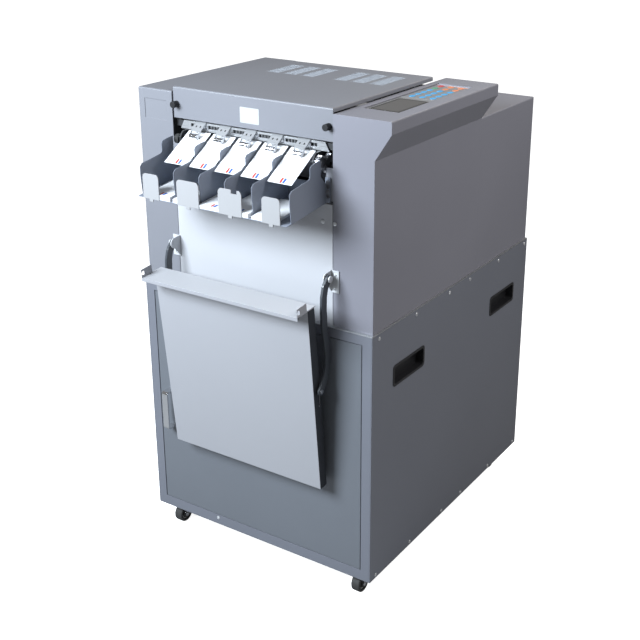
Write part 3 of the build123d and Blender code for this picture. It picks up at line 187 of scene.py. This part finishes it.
class Finish:
    """A material with its shader, the place on the piece, and the piece's X, Y and Z."""

    def __init__(self, name, **constants):
        self.material = bpy.data.materials.new(name)
        self.material.use_nodes = True
        self.tree = self.material.node_tree
        self.shader = self.tree.nodes["Principled BSDF"]
        self.start = Wire(self.tree)
        self.place = self.start.node("TexCoord", out="Object")
        split = self.start.node("SeparateXYZ", sockets={0: self.place})
        node = split.socket.node
        self.x, self.y, self.z = [Wire(self.tree, node.outputs[axis]) for axis in "XYZ"]
        for socket, value in constants.items():
            self.set(socket.replace("_", " "), value)

    def set(self, socket, value):
        target = self.shader.inputs[socket]
        if isinstance(value, Wire):
            self.tree.links.new(value.socket, target)
        else:
            target.default_value = (*value, 1) if isinstance(value, tuple) and len(value) == 3 else value

    def noise(self, scale, detail=3.0, stretch=(1, 1, 1), roughness=0.5):
        """Noise whose scale counts bumps per metre."""
        place = self.start.node("Mapping", sockets={"Vector": self.place, "Scale": stretch})
        sockets = {"Vector": place, "Scale": scale, "Detail": detail, "Roughness": roughness}
        return self.start.node("TexNoise", sockets=sockets)

    def bump(self, height, strength, depth, rounding=None):
        """Bump from a height, over edges softened by a small rounding."""
        sockets = {"Strength": strength, "Distance": depth, "Height": height}
        if rounding:
            sockets["Normal"] = self.start.node("Bevel", {"samples": 4}, {"Radius": rounding})
        self.set("Normal", self.start.node("Bump", sockets=sockets))


print("socket sums ready")

# %% [markdown]
# Powder coat is sprayed as dust and melts into a fine orange peel. Up close it has soft dimples about a
# millimetre apart and a slightly uneven gloss. The paints differ in colour, gloss and how round their folds
# are, so one function makes them all, and the waste bin's grained plastic too. The covers, the cabinet, the
# door and the catch tray share one slate paint, and the card stops share the front panel's pale paint.
# Lighter copies of the slate on the right and rear covers and on the catch tray are painted light; darker
# copies on the cabinet and the door, and a darker copy of the pale paint on the stops, are painted shade. The
# tones of the covers, the cabinet, the door and the trays were matched to the photograph's brightness, under
# the lights above. They are estimates, not samples of paint.

# %% Painted sheet metal
def powder_coat(name, colour, roughness=0.42, peel=0.12, rounding=1.2 * mm):
    coat = Finish(name, Coat_Roughness=0.3, Specular_IOR_Level=0.5)
    peel_height = coat.noise(950, detail=2.0)
    cloud = coat.noise(4.0, detail=2.0)
    lighter = tuple(min(1.0, channel * 1.07) for channel in colour)
    darker = tuple(channel * 0.94 for channel in colour)
    coat.set("Base Color", blend_colours(coat.start, cloud, (*darker, 1), (*lighter, 1)))
    coat.set("Roughness", roughness + 0.10 * (peel_height - 0.5) + 0.06 * (cloud - 0.5))
    coat.bump(peel_height, peel, 0.25 * mm, rounding)
    return coat.material


slate_paint = powder_coat("slate_paint", (0.192, 0.196, 0.220))
# Right and rear covers: a lighter copy of the slate paint, painted light.
slate_painted_light = powder_coat("slate_painted_light", (0.205, 0.204, 0.236))
# Cabinet: a darker copy of the slate paint, painted shade where the light falls off lower down.
slate_painted_shade = powder_coat("slate_painted_shade", (0.158, 0.166, 0.196))
# Door: a still darker copy of the slate paint, painted shade.
slate_deeper_painted_shade = powder_coat("slate_deeper_painted_shade", (0.135, 0.146, 0.166))
# Catch tray: a lighter, bluer copy of the slate paint, painted light for the light bounced from the cards.
slate_painted_bounce_light = powder_coat("slate_painted_bounce_light", (0.198, 0.220, 0.270))
pale_paint = powder_coat("pale_paint", (0.450, 0.455, 0.480), roughness=0.45)
# Card stops: a darker copy of the front panel's pale paint, painted shade.
pale_painted_shade = powder_coat("pale_painted_shade", (0.325, 0.325, 0.335), roughness=0.45)
bracket_paint = powder_coat("bracket_paint", (0.52, 0.53, 0.55), roughness=0.40)
arm_paint = powder_coat("arm_paint", (0.052, 0.058, 0.068), roughness=0.30, rounding=1.5 * mm)
frame_paint = powder_coat("frame_paint", (0.030, 0.031, 0.034), roughness=0.45)
bin_plastic = powder_coat("bin_plastic", (0.10, 0.10, 0.11), roughness=0.55)
print("ten paints and one plastic")

# %% [markdown]
# Bare metal here is either drawn sheet, whose lines run along the bar, or turned and ground steel. Both
# are noise stretched far along one axis, which drives roughness and a very small bump.

# %% Bare metals
def drawn_metal(name, colour, roughness, along="X", lines=900, rounding=0.5 * mm, metallic=1.0):
    metal = Finish(name, Metallic=metallic)
    stretch = {"X": (0.02, 1, 1), "Y": (1, 0.02, 1), "Z": (1, 1, 0.02)}[along]
    streak = metal.noise(lines, detail=4.0, stretch=stretch)
    stain = metal.noise(14.0, detail=3.0)
    darker = tuple(channel * 0.78 for channel in colour)
    metal.set("Base Color", blend_colours(metal.start, stain, (*darker, 1), (*colour, 1)))
    metal.set("Roughness", roughness + 0.18 * (streak - 0.5) + 0.08 * (stain - 0.5))
    metal.bump(streak, 0.12, 0.05 * mm, rounding)
    return metal.material


bright_steel = drawn_metal("bright_steel", (0.80, 0.81, 0.83), 0.30, metallic=0.7)
plated_steel = drawn_metal("plated_steel", (0.60, 0.61, 0.63), 0.30, rounding=0.3 * mm, metallic=0.6)
chrome_trim = drawn_metal("chrome_trim", (0.80, 0.80, 0.82), 0.10, along="Z", lines=500)
tool_steel = drawn_metal("tool_steel", (0.46, 0.46, 0.48), 0.34)
zinc_steel = drawn_metal("zinc_steel", (0.55, 0.56, 0.58), 0.42, along="Y")
bush_brass = drawn_metal("bush_brass", (0.72, 0.53, 0.25), 0.30)
print("six metals")

# %% [markdown]
# Each nip bracket is bright sheet metal, taken here for spring steel. The photograph shows two dark dots side
# by side in its slope. They are taken for 3 mm holes, small enough to be painted: each is a black dot of
# painted shade on the uncut sheet. The brackets sit one lane apart, so the place across a bracket is a
# remainder of X.

# %% Spring steel with holes in painted shade
lane_pitch = 61 * mm
middle_lane = -14 * mm
spring = Finish("spring_steel", Metallic=0.6)
spring_streak = spring.noise(900, detail=4.0, stretch=(0.02, 1, 1))
across_bracket = (spring.x - (middle_lane - lane_pitch / 2)).repeat(lane_pitch) - lane_pitch / 2
hole_off_middle, hole_level, hole_radius = 5.0 * mm, 934.0 * mm, 1.5 * mm
from_hole = across_bracket.size() - hole_off_middle
up_slope = spring.z - hole_level
hole = (from_hole * from_hole + up_slope * up_slope) < hole_radius ** 2
spring_dark, spring_pale, hole_painted_shade = (0.50, 0.51, 0.53, 1), (0.64, 0.65, 0.67, 1), (0.02, 0.02, 0.02, 1)
spring_tone = blend_colours(spring.start, spring_streak, spring_dark, spring_pale)
# Each hole is a black dot of painted shade.
spring.set("Base Color", blend_colours(spring.start, hole, spring_tone, hole_painted_shade))
spring.set("Roughness", 0.30 + 0.16 * (spring_streak - 0.5))
spring.bump(spring_streak, 0.12, 0.05 * mm, 0.4 * mm)
print("spring steel for the brackets")

# %% [markdown]
# Rubber and moulded plastic are dark, matt and finely grained. Rubber picks up dust, which is a paler,
# rougher patch in large soft clouds.

# %% Rubber and plastic
def moulded(name, colour, roughness, dust=0.0, grain=1400):
    skin = Finish(name, Specular_IOR_Level=0.4)
    fine = skin.noise(grain, detail=2.0)
    cloud = skin.noise(22.0, detail=4.0)
    dusty = tuple(channel + dust for channel in colour)
    skin.set("Base Color", blend_colours(skin.start, cloud, (*colour, 1), (*dusty, 1)))
    skin.set("Roughness", roughness + 0.15 * (cloud - 0.5))
    skin.bump(fine, 0.2, 0.1 * mm, 0.6 * mm)
    return skin.material


black_plastic = moulded("black_plastic", (0.014, 0.014, 0.016), 0.42)
black_rubber = moulded("black_rubber", (0.018, 0.018, 0.018), 0.65, dust=0.015)
motor_skin = moulded("motor_skin", (0.02, 0.02, 0.022), 0.38)
print("three rubbers and plastics")

# %% [markdown]
# A caster wheel is black with a pale ring between its hub and its tyre, as the photograph shows. The pale
# ring is partly a line on the hub and partly a painted reflection of the chrome fork. The ring is a band of
# distances from the axle, so the four wheels differ only in the place of their axle.

# %% Caster wheels with a pale ring
ring_inside, ring_outside = 11.0 * mm, 13.5 * mm
tyre_dark, tyre_dusty, ring_pale = (0.028, 0.028, 0.030, 1), (0.062, 0.060, 0.056, 1), (0.52, 0.52, 0.50, 1)


def caster_wheel(name, node):
    low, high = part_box(node)
    wheel = Finish(name, Specular_IOR_Level=0.4)
    off_y = wheel.y - (low.y + high.y) / 2
    off_z = wheel.z - (low.z + high.z) / 2
    reach = (off_y * off_y + off_z * off_z).sum("POWER", 0.5)
    ring = between(reach, ring_inside, ring_outside)
    dust = wheel.noise(22.0, detail=4.0)
    rubber = blend_colours(wheel.start, dust, tyre_dark, tyre_dusty)
    # The pale ring: a line on the hub, and partly a painted reflection.
    wheel.set("Base Color", blend_colours(wheel.start, ring, rubber, ring_pale))
    wheel.set("Roughness", 0.60 + 0.15 * (dust - 0.5))
    wheel.bump(wheel.noise(1400, detail=2.0), 0.2, 0.1 * mm, 0.6 * mm)
    return wheel.material


corners = ("front_left", "front_right", "rear_left", "rear_right")
wheel_finish = {caster_wheel("tyre_" + corner, "caster_wheel_" + corner): ["caster_wheel_" + corner]
                for corner in corners}
print(len(wheel_finish), "caster wheels")

# %% [markdown]
# The keypad is modelled as one printed film under the opening of the right tower. Its keys stand proud,
# so height alone tells key from film, and the row and column tell the ink: four rows of blue, then
# orange, with one green and one red key in the column beside the lid. A pale bar runs behind the last
# row.

# %% Keypad film
film_low, film_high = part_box("keypad")
key_rise = 0.6 * mm
key_pitch_x, key_pitch_y = 22.5 * mm, 22.8 * mm
first_key_x, first_key_y = 208.0 * mm, -56.5 * mm
blue_rows = 4
film = Finish("keypad_film", Specular_IOR_Level=0.55)
raised = film.z > film_high.z - 0.5 * key_rise
row = (film.y - (first_key_y - key_pitch_y / 2)) * (1 / key_pitch_y)
behind_blue = row > float(blue_rows)
behind_green = row > float(blue_rows + 1)
bar_start = blue_rows + 1.95
behind_keys = row > bar_start
near_lid = film.x < first_key_x + key_pitch_x / 2
key_blue, key_orange = (0.035, 0.370, 0.720, 1), (0.78, 0.23, 0.09, 1)
key_green, key_red, bar_grey = (0.05, 0.33, 0.17, 1), (0.56, 0.03, 0.03, 1), (0.42, 0.46, 0.55, 1)
film_grey = (0.215, 0.215, 0.220, 1)
stop_keys = blend_colours(film.start, behind_green, key_green, key_red)
far_keys = blend_colours(film.start, near_lid, key_orange, stop_keys)
inks = blend_colours(film.start, behind_blue, key_blue, far_keys)
inks = blend_colours(film.start, behind_keys, inks, bar_grey)
film_grain = film.noise(1500, detail=2.0)
border_width, border_share = 1.5 * mm, 0.62
pad_front = first_key_y - border_share * key_pitch_y
border = between(film.y, pad_front - border_width, pad_front)
ground = blend_colours(film.start, border, film_grey, bar_grey)
film.set("Base Color", blend_colours(film.start, raised, ground, inks))
film.set("Roughness", 0.36 + 0.12 * (film_grain - 0.5))
film.bump(film_grain, 0.08, 0.1 * mm, 0.4 * mm)
print("film at", [round(value, 4) for value in film_low], "to", [round(value, 4) for value in film_high])

# %% [markdown]
# The display is a dark glossy pane in the photograph. A darker frame runs round its edge, and the dead
# screen shows inside it as a warm grey. The fine wiping streaks that break up its gloss are a guess.

# %% Display pane
pane_low, pane_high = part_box("display_window")
pane = Finish("display_pane", Specular_IOR_Level=0.6)
frame_width = 6 * mm
inside = (between(pane.x, pane_low.x + frame_width, pane_high.x - frame_width)
          * between(pane.y, pane_low.y + frame_width, pane_high.y - frame_width))
wiping = pane.noise(160, detail=3.0, stretch=(1, 0.15, 1))
frame_black, screen_grey = (0.030, 0.028, 0.026, 1), (0.090, 0.084, 0.080, 1)
pane.set("Base Color", blend_colours(pane.start, inside, frame_black, screen_grey))
pane.set("Roughness", 0.09 + 0.10 * wiping)
pane.bump(wiping, 0.03, 0.05 * mm, 0.4 * mm)
print("pane", [round(side / mm, 1) for side in pane_high - pane_low], "mm")

# %% [markdown]
# The cards are made as coated stock with two short bars, red and blue, near the edge that leaves the
# machine first. The lanes are all equally wide, so the place across a card is the remainder of X by the
# lane's pitch. The stacks show their sheets as fine lines along the cut edges.

# %% Printed cards
bar_ink_red, bar_ink_blue = (0.56, 0.035, 0.025, 1), (0.018, 0.085, 0.42, 1)
card_white, edge_grey = (0.83, 0.84, 0.86, 1), (0.62, 0.63, 0.66, 1)
red_bar, blue_bar = (-2.0 * mm, 2.6 * mm), (4.6 * mm, 9.2 * mm)


def card_stock(name, bars_front, bars_rear, sheet_lines):
    stock = Finish(name, Specular_IOR_Level=0.45)
    across = (stock.x - (middle_lane - lane_pitch / 2)).repeat(lane_pitch)
    along = between(stock.y, bars_front, bars_rear)
    red, blue = [along * between(across, lane_pitch / 2 + left, lane_pitch / 2 + right)
                 for left, right in (red_bar, blue_bar)]
    normal = stock.start.node("TexCoord", out="Normal")
    upward = stock.start.node("SeparateXYZ", sockets={0: normal}, out="Z")
    top = upward > 0.5
    fibre = stock.noise(700, detail=3.0)
    sheet = stock.noise(1.0, detail=1.0, stretch=(3.0, 3.0, sheet_lines))
    shade = blend_colours(stock.start, sheet, edge_grey, card_white)
    shade = blend_colours(stock.start, top, shade, card_white)
    shade = blend_colours(stock.start, red * top, shade, bar_ink_red)
    stock.set("Base Color", blend_colours(stock.start, blue * top, shade, bar_ink_blue))
    stock.set("Roughness", 0.40 + 0.15 * (fibre - 0.5))
    stock.bump(fibre, 0.05, 0.1 * mm)
    return stock.material


cards_front, stacks_front = [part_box(node)[0].y for node in ("sample_cards", "card_stacks")]
leaving_card = card_stock("leaving_card", cards_front + 1.5 * mm, cards_front + 12 * mm, 900.0)
stacked_card = card_stock("stacked_card", stacks_front + 4 * mm, stacks_front + 15 * mm, 3200.0)
print("cards start at y", round(cards_front / mm, 1), "mm, stacks at", round(stacks_front / mm, 1), "mm")

# %% [markdown]
# The lid breathes through six slotted inserts, moulded paler than the lid. Their slots are real openings
# in the solid, so the finish only gives the bars a fine moulded grain.

# %% Slotted vents
vent = Finish("slotted_vent", Specular_IOR_Level=0.45)
vent_grain = vent.noise(900, detail=2.0)
vent_cloud = vent.noise(30.0, detail=2.0)
vent_dark, vent_pale = (0.245, 0.262, 0.295, 1), (0.285, 0.300, 0.328, 1)
vent.set("Base Color", blend_colours(vent.start, vent_cloud, vent_dark, vent_pale))
vent.set("Roughness", 0.45 + 0.10 * (vent_grain - 0.5))
vent.bump(vent_grain, 0.12, 0.2 * mm)
print("vents painted")

# %% [markdown]
# The receiving pan is pale on its face in the photograph. Its two side flanges, the parts of the pan that
# face sideways below the lip, are made near black: partly black paint like the arms that carry it, partly
# painted shade. The lip's faces that look up get a paler tone, a painted highlight, matched to the photograph
# like the other paints.

# %% Receiving pan in two paints, with painted shade and a painted highlight
pan = Finish("pan_paint", Specular_IOR_Level=0.5)
pan_peel = pan.noise(950, detail=2.0)
pan_cloud = pan.noise(3.0, detail=2.0)
pan_normal = pan.start.node("TexCoord", out="Normal")
pan_top, lip_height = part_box("receiving_tray")[1].z, 20 * mm
face_dark, face_pale, lip_painted_highlight = (0.315, 0.318, 0.342, 1), (0.335, 0.338, 0.363, 1), (0.400, 0.402, 0.420, 1)
flange_black_and_shade = (0.020, 0.022, 0.027, 1)
below_lip = pan.z < pan_top - lip_height
pan_side = below_lip * (pan.start.node("SeparateXYZ", sockets={0: pan_normal}, out="X").size() > 0.8)
pan_up = pan.start.node("SeparateXYZ", sockets={0: pan_normal}, out="Z") > 0.7
pan_face = blend_colours(pan.start, pan_cloud, face_dark, face_pale)
# Painted highlight: the lip's upward faces are paler for the light from above.
pan_face = blend_colours(pan.start, pan_up, pan_face, lip_painted_highlight)
# The sideways faces below the lip are near black: black paint with painted shade.
pan.set("Base Color", blend_colours(pan.start, pan_side, pan_face, flange_black_and_shade))
pan.set("Roughness", 0.44 + 0.10 * (pan_peel - 0.5))
pan.bump(pan_peel, 0.12, 0.25 * mm, 1.0 * mm)
print("pan painted")

# %% [markdown]
# The control board under the keypad is hidden until the cover comes off, so its look is a guess: green
# laminate with paler traces, which are thin bands along the edges of a cell pattern.

# %% Board laminate
board = Finish("board_laminate", Coat_Weight=0.3)
traces = board.start.node("TexVoronoi", {"feature": "DISTANCE_TO_EDGE"},
                          {"Vector": board.place, "Scale": 120.0})
trace_width = 0.06
laminate_green, trace_green = (0.010, 0.085, 0.035, 1), (0.06, 0.20, 0.08, 1)
trace = traces < trace_width
board.set("Base Color", blend_colours(board.start, trace, laminate_green, trace_green))
board.set("Roughness", 0.38 + 0.12 * board.noise(300))
board.bump(trace, 0.2, 0.1 * mm)
print("board laminate")

# %% [markdown]
# Every CAD piece now gets its finish. The names on the left are finishes, and each list holds the pieces
# that share it. Those inside the covers are not in the photograph, so theirs follow common practice.

# %% Finish of each CAD piece
finish_of = {
    slate_paint: ["left_cover", "lid", "tray_rails"],
    slate_painted_light: ["right_cover", "rear_cover"],
    slate_painted_shade: ["cabinet_frame", "cabinet_base", "cabinet_shell"],
    slate_deeper_painted_shade: ["cabinet_door"],
    slate_painted_bounce_light: ["catch_tray"],
    pale_paint: ["front_panel"],
    pale_painted_shade: ["card_stops"],
    bracket_paint: ["arm_brackets"],
    frame_paint: ["side_frames"],
    bin_plastic: ["waste_bin"],
    arm_paint: ["arm_left", "arm_right"],
    zinc_steel: ["cabinet_deck", "caster_plates", "lid_bridge", "feed_table"],
    chrome_trim: ["door_handle", "caster_fork_front_left", "caster_fork_front_right",
                  "caster_fork_rear_left", "caster_fork_rear_right", "nip_rollers"],
    plated_steel: ["guide_bar"],
    spring.material: ["nip_brackets"],
    bright_steel: ["guide_left", "guide_right", "panel_screws"],
    tool_steel: ["lower_cutter", "upper_cutter", "idler_gear", "motor_pinion", "pinch_roller",
                 "crosscut_blade", "blade_bed", "exit_shaft", "tray_pins"],
    bush_brass: ["shaft_bushes"],
    black_plastic: ["side_pulls", "mains_inlet", "thumbscrew_left", "thumbscrew_right"],
    motor_skin: ["drive_motors"],
    black_rubber: ["feed_roller", "exit_tyres"],
    **wheel_finish,
    film.material: ["keypad"],
    pane.material: ["display_window"],
    leaving_card: ["sample_cards"],
    stacked_card: ["card_stacks"],
    vent.material: ["lid_vents"],
    pan.material: ["receiving_tray"],
    board.material: ["control_board"],
}
for material, nodes in finish_of.items():
    for name in nodes:
        for material_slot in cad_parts[name].material_slots:
            material_slot.material = material
finished = {name for nodes in finish_of.values() for name in nodes}
print("left without a finish:", sorted(set(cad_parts) - finished))

# %% [markdown]
# Small round screw heads hold the covers. The solids show plain discs where they sit, so each disc's box
# gives a screw's place, size and side. The cross recess is a guess, as the heads are small in the
# photograph. One head is turned as a domed profile, a cross is cut out of it, and scaled copies go to
# all places in one mesh.

# %% A domed head with a cross recess
def lathe(name, profile, steps=32):
    """A closed solid turned about Z from pairs of radius and height."""
    turned = bmesh.new()
    rings = []
    for radius, height in profile:
        spots = [2 * math.pi * step / steps for step in range(steps)] if radius else [0]
        rings.append([turned.verts.new((radius * math.cos(a), radius * math.sin(a), height)) for a in spots])
    for lower, upper in zip(rings, rings[1:]):
        for step in range(steps):
            corners = [lower[step % len(lower)], lower[(step + 1) % len(lower)],
                       upper[(step + 1) % len(upper)], upper[step % len(upper)]]
            turned.faces.new(list(dict.fromkeys(corners)))
    bmesh.ops.recalc_face_normals(turned, faces=turned.faces)
    data = bpy.data.meshes.new(name)
    turned.to_mesh(data)
    turned.free()
    return data


head_profile = ((0, 0), (1, 0), (1, 0.35), (0.93, 0.6), (0.72, 0.83), (0.4, 0.96), (0, 1))
head_blank = bpy.data.objects.new("head_blank", lathe("head_blank", head_profile))
bpy.context.collection.objects.link(head_blank)
cross = bmesh.new()
recess_length, recess_width, recess_height = 0.62, 0.15, 1.4
for length, width in ((recess_length, recess_width), (recess_width, recess_length)):
    bar = Matrix.Translation((0, 0, recess_height)) @ Matrix.Diagonal((length, width, 1, 1))
    bmesh.ops.create_cube(cross, size=2, matrix=bar)
cross_data = bpy.data.meshes.new("cross")
cross.to_mesh(cross_data)
cross.free()
cutter = bpy.data.objects.new("cross", cross_data)
bpy.context.collection.objects.link(cutter)
recess = head_blank.modifiers.new("recess", "BOOLEAN")
recess.object = cutter
recess.use_self = True
ready = head_blank.evaluated_get(bpy.context.evaluated_depsgraph_get())
head_data = bpy.data.meshes.new_from_object(ready)
for helper in (head_blank, cutter):
    bpy.data.objects.remove(helper)
print("one screw head has", len(head_data.polygons), "faces")

# %% Copies of the head on every disc
def solid_boxes(data):
    """The lowest and highest corner of every separate solid of a mesh."""
    source = bmesh.new()
    source.from_mesh(data)
    bmesh.ops.remove_doubles(source, verts=source.verts, dist=0.01 * mm)
    unseen = set(source.verts)
    boxes = []
    while unseen:
        reached = [unseen.pop()]
        for vert in reached:
            for edge in vert.link_edges:
                other = edge.other_vert(vert)
                if other in unseen:
                    unseen.remove(other)
                    reached.append(other)
        spots = [vert.co for vert in reached]
        boxes.append((Vector([min(s[i] for s in spots) for i in range(3)]),
                      Vector([max(s[i] for s in spots) for i in range(3)])))
    source.free()
    return boxes


turn_between_heads = 0.9
heads = bmesh.new()
discs = solid_boxes(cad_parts["panel_screws"].data)
for turn, (low, high) in enumerate(discs):
    size = high - low
    axis = min(range(3), key=lambda i: size[i])
    outward = Vector((0, 0, 0))
    outward[axis] = {0: math.copysign(1, low.x), 1: -1, 2: 1}[axis]
    seat = (low + high) / 2 - outward * size[axis] / 2
    facing = outward.to_track_quat("Z", "Y").to_matrix().to_4x4()
    radius = max(size) / 2
    place = (Matrix.Translation(seat) @ facing @ Matrix.Rotation(turn * turn_between_heads, 4, "Z")
             @ Matrix.Diagonal((radius, radius, size[axis], 1)))
    first = len(heads.verts)
    heads.from_mesh(head_data)
    heads.verts.ensure_lookup_table()
    bmesh.ops.transform(heads, matrix=place, verts=heads.verts[first:])
screw_data = bpy.data.meshes.new("screw_heads")
heads.to_mesh(screw_data)
heads.free()
screw_heads = bpy.data.objects.new("screw_heads", screw_data)
screw_data.materials.append(bright_steel)
bpy.context.collection.objects.link(screw_heads)
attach(screw_heads, "root")
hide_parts("panel_screws")
print(len(discs), "screws")

# %% [markdown]
# The lid's apron carries a small label beside its middle. It is left blank: a thin white plate of card
# stock under film, with round corners.

# %% Blank label
label_left, label_right = -37.0 * mm, 7.5 * mm
label_low, label_high = 954.0 * mm, 984.0 * mm
label_gauge, label_round, corner_steps = 0.3 * mm, 2.0 * mm, 6
apron_face = -277.0 * mm
outline = []
for middle_x, middle_z, start in ((label_right - label_round, label_high - label_round, 0),
                                  (label_left + label_round, label_high - label_round, 90),
                                  (label_left + label_round, label_low + label_round, 180),
                                  (label_right - label_round, label_low + label_round, 270)):
    for step in range(corner_steps + 1):
        angle = math.radians(start + 90 * step / corner_steps)
        outline.append((middle_x + label_round * math.cos(angle), middle_z + label_round * math.sin(angle)))
plate = bmesh.new()
face = plate.faces.new([plate.verts.new((x, apron_face, z)) for x, z in outline])
raised = bmesh.ops.extrude_face_region(plate, geom=[face])
bmesh.ops.translate(plate, vec=(0, -label_gauge, 0),
                    verts=[item for item in raised["geom"] if isinstance(item, bmesh.types.BMVert)])
bmesh.ops.recalc_face_normals(plate, faces=plate.faces)
label_data = bpy.data.meshes.new("blank_label")
plate.to_mesh(label_data)
plate.free()
label = bpy.data.objects.new("blank_label", label_data)
bpy.context.collection.objects.link(label)
label_stock = Finish("label_stock", Coat_Weight=0.3, Coat_Roughness=0.2)
label_grain = label_stock.noise(900, detail=2.0)
label_dark, label_pale = (0.42, 0.43, 0.42, 1), (0.48, 0.49, 0.48, 1)
label_stock.set("Base Color", blend_colours(label_stock.start, label_grain, label_dark, label_pale))
label_stock.set("Roughness", 0.40 + 0.10 * (label_grain - 0.5))
label_stock.bump(label_grain, 0.05, 0.05 * mm)
label_data.materials.append(label_stock.material)
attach(label, "lid")
print("label", round((label_right - label_left) / mm, 1), "by", round((label_high - label_low) / mm, 1), "mm")

# %% [markdown]
# The floor is a plain white sheet, large enough to have no edge in view. It catches a soft shadow, and
# for everything but the camera it is a dimmer sheet, so that it throws little light up the dark side.

# %% White floor
floor_size = 30.0
floor_mesh = bmesh.new()
bmesh.ops.create_grid(floor_mesh, x_segments=1, y_segments=1, size=floor_size / 2)
floor_data = bpy.data.meshes.new("floor")
floor_mesh.to_mesh(floor_data)
floor_mesh.free()
floor = bpy.data.objects.new("floor", floor_data)
bpy.context.collection.objects.link(floor)
paper = Finish("studio_paper", Specular_IOR_Level=0.2)
seen_paper = blend_colours(paper.start, paper.noise(2.0), (0.93, 0.93, 0.93, 1), (0.95, 0.95, 0.95, 1))
directly = paper.start.node("LightPath")
paper.set("Base Color", blend_colours(paper.start, directly, (0.30, 0.30, 0.30, 1), seen_paper))
paper.set("Emission Color", blend_colours(paper.start, directly, (0, 0, 0, 1), (0.90, 0.90, 0.90, 1)))
paper.set("Emission Strength", 1.0)
paper.set("Roughness", 0.85 + 0.05 * paper.noise(40.0))
floor_data.materials.append(paper.material)
print("floor", floor_size, "m across")
